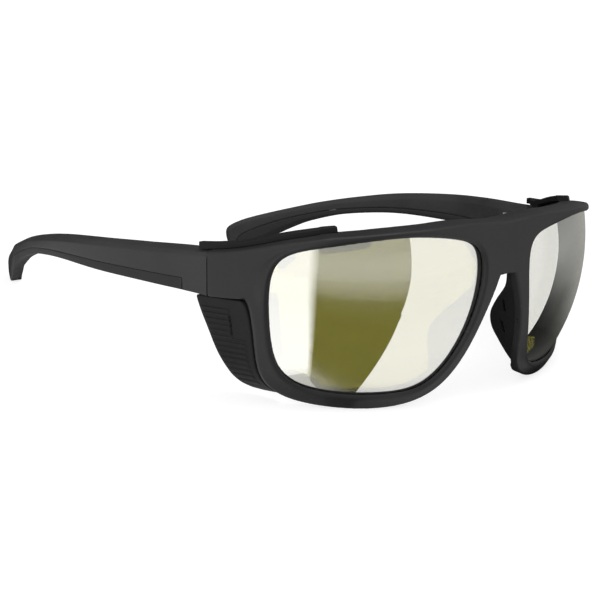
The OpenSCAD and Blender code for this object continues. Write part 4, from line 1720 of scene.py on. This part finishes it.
@dataclass(frozen=True)
class Temples:
    """Folding temples with hooked tips and soft grip strips."""

    form: FrontForm
    length: float = 108.0
    reference: float = 108.0
    hinge_gap: float = 0.15
    share_front: float = 0.31
    share_back: float = 0.5
    grip_start: float = 8.5
    grip_gap: float = 0.05
    edge_r: float = 1.1
    seam_r: float = 0.25
    edge_in: float = 0.86
    seam_in: float = 0.96
    face_out: float = 0.14
    temple_soft: float = 0.25
    grip_soft: float = 0.35
    # Short lengths along the rows, where the next row is 1 away.
    step_half: float = 0.004
    grip_lag: float = 0.014
    tip_short: float = 0.02
    front_stations: int = 12
    stations: int = 170
    # Share of the length, and outer sideways place from the hinge.
    bow_out: Table = ((0, 0), (0.16, 4), (0.34, 5), (0.53, 1.5), (0.70, -5.5), (0.88, -14.5),
                      (1.01, -23.2))

    @property
    def bow_in(self) -> Table:
        """Inner sideways place from the hinge, by share of the length.

        Returns:
            Pairs of share and place.
        """
        t = -self.form.end_t
        return ((0, t), (0.03, t + 0.06), (0.06, t + 0.2), (0.09, t + 0.6), (0.13, t + 1.9),
                (0.2, -3.2), (0.34, -1), (0.53, -3.6), (0.70, -10), (0.88, -18.8), (1.01, -27.2))

    @property
    def side_rows(self) -> Sequence[tuple[float, float, float, float]]:
        """Depth and height of the top edge and of the bottom edge, from the hinge.

        Returns:
            Rows of top depth, top height, bottom depth and bottom height.
        """
        top, low = self.form.end_top, self.form.end_z
        return ((0, top - 0.4, 0, low + 0.2), (17, 16.6, 17, 7.3), (36, 16.5, 36, 8.8),
                (55, 15.6, 54, 9.8), (69, 13.9, 66, 9.4), (81, 11.8, 76.5, 8.1),
                (91, 9.3, 86, 5.6), (98.5, 7.2, 91.8, 3.1), (104.6, 5, 96.6, 0.6),
                (108.7, 2.3, 100.4, -1.6), (108.6, -1.4, 103.2, -3.2), (106.6, -4, 104.4, -4.2))

    @property
    def start(self) -> float:
        """Place along the rows where the grip strip begins."""
        return self.grip_start / self.side_rows[1][0]

    def grip_share(self, t: float) -> float:
        """Share of the temple's height that the grip strip takes."""
        blend = min(max((t - 3) / 4, 0.0), 1.0)
        return self.share_front + (self.share_back - self.share_front) * blend

    def section(self, t: float, low: float, high: float, crown: float, soft: float,
                seam: tuple[bool, bool]) -> Ring:
        """Section of a temple or of its grip strip.

        Args:
            t: Place along the rows.
            low: Share of the height where the section begins.
            high: Share of the height where it ends.
            crown: 1 for a crowned top, 0 for a flat one.
            soft: Radius of the long edges.
            seam: Whether the low end and the high end meet the other piece.

        Returns:
            The section's outline.
        """
        a, b, c, d = through(self.side_rows, t)
        s_top, s_low = Vector((a, b)), Vector((c, d))
        bottom, top = s_low.lerp(s_top, low), s_low.lerp(s_top, high)
        up = top - bottom
        h = up.length
        r = min(self.edge_r, h * 0.3)
        r0, r1 = (self.seam_r if meets else r for meets in seam)
        in0, in1 = (self.seam_in if meets else self.edge_in for meets in seam)
        shares = [(0, 0), (0, r / h), (0, 1 - r / h * crown), (self.face_out, 1),
                  (0.5, 1 + 0.7 * crown / h), (in1, 1 + 0.5 * crown / h), (1, 1 - r1 / h),
                  (1, r0 / h), (in0, 0), (self.face_out, 0)]
        ring = []
        for across, along in shares:
            q = bottom + along * up
            f = q.x / self.reference
            x0, x1 = smooth_lookup(self.bow_out, f), smooth_lookup(self.bow_in, f)
            depth = self.form.hinge_y + self.hinge_gap + q.x * self.length / self.reference
            ring.append(Vector((self.form.hinge_x + x0 + across * (x1 - x0), depth, q.y)))
        return rounded(ring, soft, 3)

    def temple(self, side: Side) -> bpy.types.Object:
        """Closed mesh of one temple.

        Args:
            side: The wearer's side.

        Returns:
            The new object.
        """
        last, t0 = len(self.side_rows) - 1, self.start
        places = [t0 * i / self.front_stations for i in range(self.front_stations)]
        places.append(t0 - self.step_half)
        places += [t0 + self.step_half + i * (last - t0 - self.step_half) / self.stations
                   for i in range(self.stations + 1)]

        def ring_at(t: float) -> Ring:
            """Section of the temple at t.

            Args:
                t: Place along the rows.

            Returns:
                The section's points in order.
            """
            low = 0.0 if t < t0 else self.grip_share(t)
            return self.section(t, low, 1.0, 1.0, self.temple_soft, (low > 0, False))

        return MeshShop.skin("temple", flip([ring_at(t) for t in places], side))

    def grip(self, side: Side) -> bpy.types.Object:
        """Closed mesh of one grip strip.

        Args:
            side: The wearer's side.

        Returns:
            The new object.
        """
        last, t0 = len(self.side_rows) - 1 - self.tip_short, self.start + self.grip_lag

        def ring_at(t: float) -> Ring:
            """Section of the strip at t.

            Args:
                t: Place along the rows.

            Returns:
                The section's points in order.
            """
            a, b, c, d = through(self.side_rows, t)
            h = math.hypot(a - c, b - d)
            return self.section(t, 0.0, self.grip_share(t) - self.grip_gap / h, 0.0,
                                self.grip_soft, (False, True))

        return MeshShop.skin("grip", flip(
            [ring_at(t0 + i * (last - t0) / self.stations) for i in range(self.stations + 1)],
            side))

    def build(self, placement: Placement) -> None:
        """Builds and dresses both temples and their grip strips.

        Args:
            placement: Where the worn frame lies.
        """
        for side in Side:
            settle_piece(self.temple(side), f"{side.word}_hooked_temple", placement,
                         PAINTED_LIGHT_TEMPLE, Body.arm(side), Slot.FRAME, (f"{side.word}_temple",),
                         sharp=45)
            settle_piece(self.grip(side), f"{side.word}_grip_strip", placement, GRIP_RUBBER,
                         Body.arm(side), Slot.RUBBER, (f"{side.word}_temple_grip",), sharp=45)


@dataclass(frozen=True)
class Hinges:
    """The steel hinges and screws, whose solids are shown as they are."""

    parts: tuple[str, ...] = ("front_hinge", "temple_hinge", "hinge_screw", "front_leaf_screws",
                              "temple_leaf_screws")

    def build(self) -> None:
        """Gives every hinge leaf and screw its steel."""
        for side in Side:
            for part in self.parts:
                obj = frame["nodes"][f"{side.word}_{part}"]
                obj.data.materials.clear()
                obj.data.materials.append(HINGE_STEEL.material())
                LOG.info("%s: steel", obj.name)


@dataclass(frozen=True)
class PhotoCamera:
    """Camera at the photograph's viewing angle; lengths in millimetres."""

    place: tuple[float, float, float] = (-449.206, -398.854, 174.709)
    azimuth: float = -48.4614
    elevation: float = 15.522
    roll: float = 7.260
    lens: float = 127.57
    sensor: float = 36.0
    clip: tuple[float, float] = (10.0, 30000.0)

    def build(self) -> None:
        """Creates the camera and makes it the scene's own."""
        az, el, roll = (math.radians(v) for v in (self.azimuth, self.elevation, self.roll))
        back = Vector((math.sin(az) * math.cos(el), -math.cos(az) * math.cos(el), math.sin(el)))
        level = Vector((math.cos(az), math.sin(az), 0.0))
        right = math.cos(roll) * level + math.sin(roll) * back.cross(level)
        turn = Matrix((right, back.cross(right), back)).transposed()
        data = bpy.data.cameras.new("photo_camera")
        data.lens, data.sensor_width = self.lens, self.sensor
        data.clip_start, data.clip_end = (reach * MM for reach in self.clip)
        camera = bpy.data.objects.new("photo_camera", data)
        camera.matrix_world = Matrix.Translation(Vector(self.place) * MM) @ turn.to_4x4()
        bpy.context.scene.collection.objects.link(camera)
        bpy.context.scene.camera = camera


@dataclass(frozen=True)
class Glow:
    """Glow painted into reflections, by distance over the floor and by height up the far wall, in
    metres.
    """

    floor: Table
    wall: Table


@dataclass(frozen=True)
class Column:
    """A line over the floor and up the far wall, from a start in millimetres."""

    start: tuple[float, float]
    azimuth: float
    glow: Glow

    def floor_point(self, distance: float, height: float) -> Vector:
        """Point of the line at a distance from its start.

        Args:
            distance: Distance from the start in metres.
            height: Height in metres.

        Returns:
            The point in metres.
        """
        a = math.radians(self.azimuth)
        return Vector((self.start[0] * MM + distance * math.sin(a),
                       self.start[1] * MM - distance * math.cos(a), height))


@dataclass(frozen=True)
class Lamp:
    """A soft square lamp; lengths in metres, power in watts."""

    name: str
    place: tuple[float, float, float]
    size: float
    power: float
    mirrored: bool


# Painted reflections: how bright the sheets glow that the lenses and plastics mirror. They are
# bright where white shows and dark where bands or shade show.
PAINTED_WHITE = Glow(floor=((0, 1.05), (0.004, 1.3), (0.1, 1.2)), wall=((0, 1.15),))
BAND = Glow(
    floor=((0, 0.3), (0.004, 0.2), (0.008, 0.05), (0.014, 0.01), (0.06, 0.008), (0.09, 0.015),
           (0.12, 0.035), (0.155, 0.055), (0.195, 0.14), (0.25, 0.19), (0.35, 0.245),
           (0.55, 0.28), (0.75, 0.31)),
    wall=((0, 0.33), (0.035, 0.375), (0.075, 0.4), (0.115, 0.4), (0.155, 0.38), (0.195, 0.345)))
PALE = Glow(floor=((0, 0.3), (0.004, 0.42), (0.008, 0.72), (0.014, 0.95), (0.03, 0.99),
                   (0.1, 0.96)), wall=((0, 0.98),))
PALE_FAR = Glow(floor=((0, 0.3), (0.004, 0.4), (0.008, 0.65), (0.014, 0.85), (0.03, 0.9)),
                wall=((0, 0.9),))
DUSK_EDGE = Glow(
    floor=((0.03, 0.015), (0.045, 0.028), (0.06, 0.045), (0.078, 0.075), (0.1, 0.125),
           (0.133, 0.175), (0.187, 0.24), (0.25, 0.31), (0.35, 0.35), (0.5, 0.37)),
    wall=((0, 0.365), (0.1, 0.32)))
DUSK = Glow(
    floor=((0.03, 0.025), (0.045, 0.05), (0.06, 0.08), (0.078, 0.11), (0.1, 0.16),
           (0.133, 0.25), (0.187, 0.31), (0.25, 0.345), (0.35, 0.36), (0.5, 0.37)),
    wall=((0, 0.365), (0.1, 0.32)))
DUSK_SIDE = Glow(floor=((0.03, 0.06), (0.045, 0.11), (0.078, 0.27), (0.133, 0.38), (0.25, 0.42)),
                 wall=((0, 0.4), (0.1, 0.35)))
NIGHT = Glow(floor=((0, 0.06),), wall=((0, 0.06),))


@dataclass(frozen=True)
class Studio:
    """Pale floor, white surroundings, soft lamps, and glowing sheets seen only in reflections that
    paint their bands and shade.
    """

    floor_half: float = 3.0
    ambient: float = 0.5
    floor_glow: float = 0.78
    floor_color: float = 0.42
    flag_rise: float = 0.0006
    # Distances over the floor and heights up the far wall at which the sheets of painted
    # reflection have their points.
    steps: tuple[float, ...] = (0.0, 0.004, 0.008, 0.014, 0.03, 0.045, 0.06, 0.078, 0.09, 0.1,
                                0.12, 0.133, 0.155, 0.187, 0.195, 0.25, 0.35, 0.5, 0.55, 0.75)
    heights: tuple[float, ...] = (0.01, 0.035, 0.075, 0.1, 0.115, 0.155, 0.195, 0.3, 1.2)
    # Sheets that paint the reflections: bright and dark bands in front, dim ones to the side, dark
    # behind.
    sweep: tuple[Column, ...] = (
        Column((-64, -52), -90, PAINTED_WHITE), Column((-59, -62), -40.3, PAINTED_WHITE),
        Column((-55.5, -60), -34.8, BAND), Column((-43.5, -56.5), 14.7, BAND),
        Column((-43.4, -56.5), 14.75, PALE), Column((12, -73.5), 51, PALE),
        Column((17, -74.5), 56, PALE_FAR), Column((22, -75.5), 67.2, PALE_FAR))
    dusk: tuple[Column, ...] = (
        Column((22, -75.4), 67.8, DUSK_EDGE), Column((27, -73), 85, DUSK),
        Column((33, -69), 108, DUSK_SIDE), Column((36, -66), 124, DUSK_SIDE))
    rear: tuple[Column, ...] = (Column((36, -66), 124, NIGHT), Column((0, 0), 165, NIGHT),
                                Column((0, 0), 215, NIGHT))
    # Sideways place, depth and brightness along the front edge of the painted shadow under the
    # pair, which only reflections show.
    foot: tuple[tuple[float, float, float], ...] = (
        (-76, -40, 0.6), (-66, -54, 0.72), (-60, -61, 0.68), (-50, -66, 0.5), (-30, -70, 0.3),
        (0, -72, 0.1), (30, -70, 0.02), (50, -66, 0.01), (60, -61, 0.03), (66, -54, 0.06),
        (76, -40, 0.1))
    foot_back: float = 78.0
    target: tuple[float, float, float] = (0.0, 0.0, 0.02)
    lamps: tuple[Lamp, ...] = (
        Lamp("side_lamp", (-1.35, -0.45, 0.45), 0.9, 13.0, mirrored=False),
        Lamp("top_lamp", (0.3, -0.2, 1.3), 0.5, 3.5, mirrored=True))

    @staticmethod
    def seen(sheet: NodeSheet) -> bpy.types.NodeSocket:
        """1 for what the camera, a reflection or a clear material sees.

        Args:
            sheet: The nodes of a material or of the world.

        Returns:
            The result's socket.
        """
        path = sheet.add("ShaderNodeLightPath")
        first = sheet.math("MAXIMUM", path.outputs["Is Camera Ray"], path.outputs["Is Glossy Ray"])
        return sheet.math("MAXIMUM", first, path.outputs["Is Transmission Ray"])

    def world(self) -> None:
        """White surroundings for what is seen and a plain level for what is lit."""
        world = bpy.data.worlds.new("white_studio")
        world.use_nodes = True
        bpy.context.scene.world = world
        sheet = NodeSheet(world.node_tree)
        background = world.node_tree.nodes["Background"]
        background.inputs["Color"].default_value = (1.0, 1.0, 1.0, 1.0)
        sheet.link(sheet.spread(self.seen(sheet), 0.0, 1.0, self.ambient, 1.0),
                   background.inputs["Strength"])

    def stage_mesh(self, name: str, rows: Sequence[Sequence[tuple[Vector, float]]],
                   material: bpy.types.Material) -> bpy.types.Object:
        """Sheet of the stage with a glow at each of its points.

        Args:
            name: Name of the new object.
            rows: Rows of points in metres with their brightness.
            material: The sheet's material.

        Returns:
            The new object.
        """
        mesh = bpy.data.meshes.new(name)
        n = len(rows[0])
        faces = [(i * n + j, i * n + j + 1, (i + 1) * n + j + 1, (i + 1) * n + j)
                 for i in range(len(rows) - 1) for j in range(n - 1)]
        mesh.from_pydata([tuple(point) for row in rows for point, _ in row], [], faces)
        shade = mesh.attributes.new("glow", "FLOAT", "POINT")
        shade.data.foreach_set("value", [glow for row in rows for _, glow in row])
        mesh.materials.append(material)
        obj = bpy.data.objects.new(name, mesh)
        bpy.context.scene.collection.objects.link(obj)
        return obj

    def floor(self) -> None:
        """Pale floor that glows for what is seen and keeps the object's shadow."""
        material = bpy.data.materials.new("pale_floor")
        material.use_nodes = True
        nodes = material.node_tree.nodes
        sheet = NodeSheet(material.node_tree)
        nodes.remove(nodes["Principled BSDF"])
        paint = sheet.add("ShaderNodeBsdfDiffuse", Color=(self.floor_color,) * 3 + (1.0,))
        light = sheet.add("ShaderNodeEmission", Color=(1.0, 1.0, 1.0, 1.0))
        sheet.link(sheet.math("MULTIPLY", self.seen(sheet), self.floor_glow),
                   light.inputs["Strength"])
        both = sheet.add("ShaderNodeAddShader")
        sheet.link(paint.outputs[0], both.inputs[0])
        sheet.link(light.outputs[0], both.inputs[1])
        sheet.link(both.outputs[0], nodes["Material Output"].inputs["Surface"])
        h = self.floor_half
        self.stage_mesh("pale_floor", [[(Vector((x, y, 0.0)), 1.0) for x in (-h, h)]
                                       for y in (-h, h)], material)

    def flag_material(self) -> bpy.types.Material:
        """Glow of the sheets that paint reflections, as bright as each point's glow and with no
        light on it.

        Returns:
            The new material.
        """
        material = bpy.data.materials.new("painted_reflection_glow")
        material.use_nodes = True
        nodes = material.node_tree.nodes
        sheet = NodeSheet(material.node_tree)
        nodes.remove(nodes["Principled BSDF"])
        glow = sheet.add("ShaderNodeAttribute", {"attribute_name": "glow"})
        light = sheet.add("ShaderNodeEmission", Color=(1.0, 1.0, 1.0, 1.0))
        sheet.link(glow.outputs["Fac"], light.inputs["Strength"])
        sheet.link(light.outputs[0], nodes["Material Output"].inputs["Surface"])
        return material

    def flag(self, name: str, rows: Sequence[Sequence[tuple[Vector, float]]],
             material: bpy.types.Material, through_glass: bool) -> None:
        """A glowing sheet that paints reflections; only glossy surfaces and, if wanted, clear ones
        see it.

        Args:
            name: Name of the new object.
            rows: Rows of points in metres with their brightness.
            material: The flag's material.
            through_glass: Whether clear materials see it too.
        """
        obj = self.stage_mesh(name, rows, material)
        obj.visible_camera = obj.visible_diffuse = obj.visible_shadow = False
        obj.visible_volume_scatter = False
        obj.visible_transmission = through_glass

    def sheet(self, columns: Sequence[Column]) -> list[list[tuple[Vector, float]]]:
        """Rows of points over the floor and up the wall, with their brightness.

        Args:
            columns: The lines that it hangs between.

        Returns:
            Rows of points in metres, each with its brightness.
        """
        rows = [[(column.floor_point(step, self.flag_rise), lookup(column.glow.floor, step))
                 for column in columns] for step in self.steps]
        return rows + [[(column.floor_point(self.steps[-1], height),
                         lookup(column.glow.wall, height)) for column in columns]
                       for height in self.heights]

    def flags(self) -> None:
        """Glowing sheets round the pair that paint reflections, and a dark one under it that
        paints its shadow into reflections.
        """
        cloth = self.flag_material()
        self.flag("front_painted_reflection", self.sheet(self.sweep), cloth, False)
        self.flag("dusk_painted_reflection", self.sheet(self.dusk), cloth, True)
        self.flag("rear_painted_shade", self.sheet(self.rear), cloth, False)
        # Dark sheet under the pair: paints its shadow into reflections.
        low = self.flag_rise / 2
        self.flag("painted_foot_shadow", [
            [(Vector((x * MM, y * MM, low)), glow) for x, y, glow in self.foot],
            [(Vector((x * MM, self.foot_back * MM, low)), glow) for x, _, glow in self.foot]],
            cloth, False)

    def light(self, lamp: Lamp) -> None:
        """Sets up a lamp that points at the middle of the pair.

        Args:
            lamp: The lamp.
        """
        data = bpy.data.lights.new(lamp.name, "AREA")
        data.shape, data.size, data.energy = "SQUARE", lamp.size, lamp.power
        obj = bpy.data.objects.new(lamp.name, data)
        obj.location = lamp.place
        aim = Vector(self.target) - obj.location
        obj.rotation_euler = aim.to_track_quat("-Z", "Y").to_euler()
        obj.visible_glossy = lamp.mirrored
        bpy.context.scene.collection.objects.link(obj)

    def build(self) -> None:
        """Builds the whole studio."""
        self.world()
        self.floor()
        self.flags()
        for lamp in self.lamps:
            self.light(lamp)


def main() -> None:
    """Builds the sunglasses and their studio in order."""
    logging.basicConfig(level=logging.INFO, format="%(message)s")
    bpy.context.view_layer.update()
    form = FrontForm()
    joint = next(j for j in frame["joints"] if j["name"] == "left_fold")
    placement = Placement.from_joint(joint, form.pivot)
    blade = NoseBlade()
    lenses = Lenses(form)
    front = MouldedFront(form, blade, lenses)
    front.build(placement)
    lenses.build(placement)
    NosePads(blade).build(placement)
    SideShields(form, front).build(placement)
    Temples(form).build(placement)
    Hinges().build()
    Studio().build()
    PhotoCamera().build()
    scene = bpy.context.scene
    scene.view_settings.view_transform = "Standard"


if __name__ == "__main__":
    main()
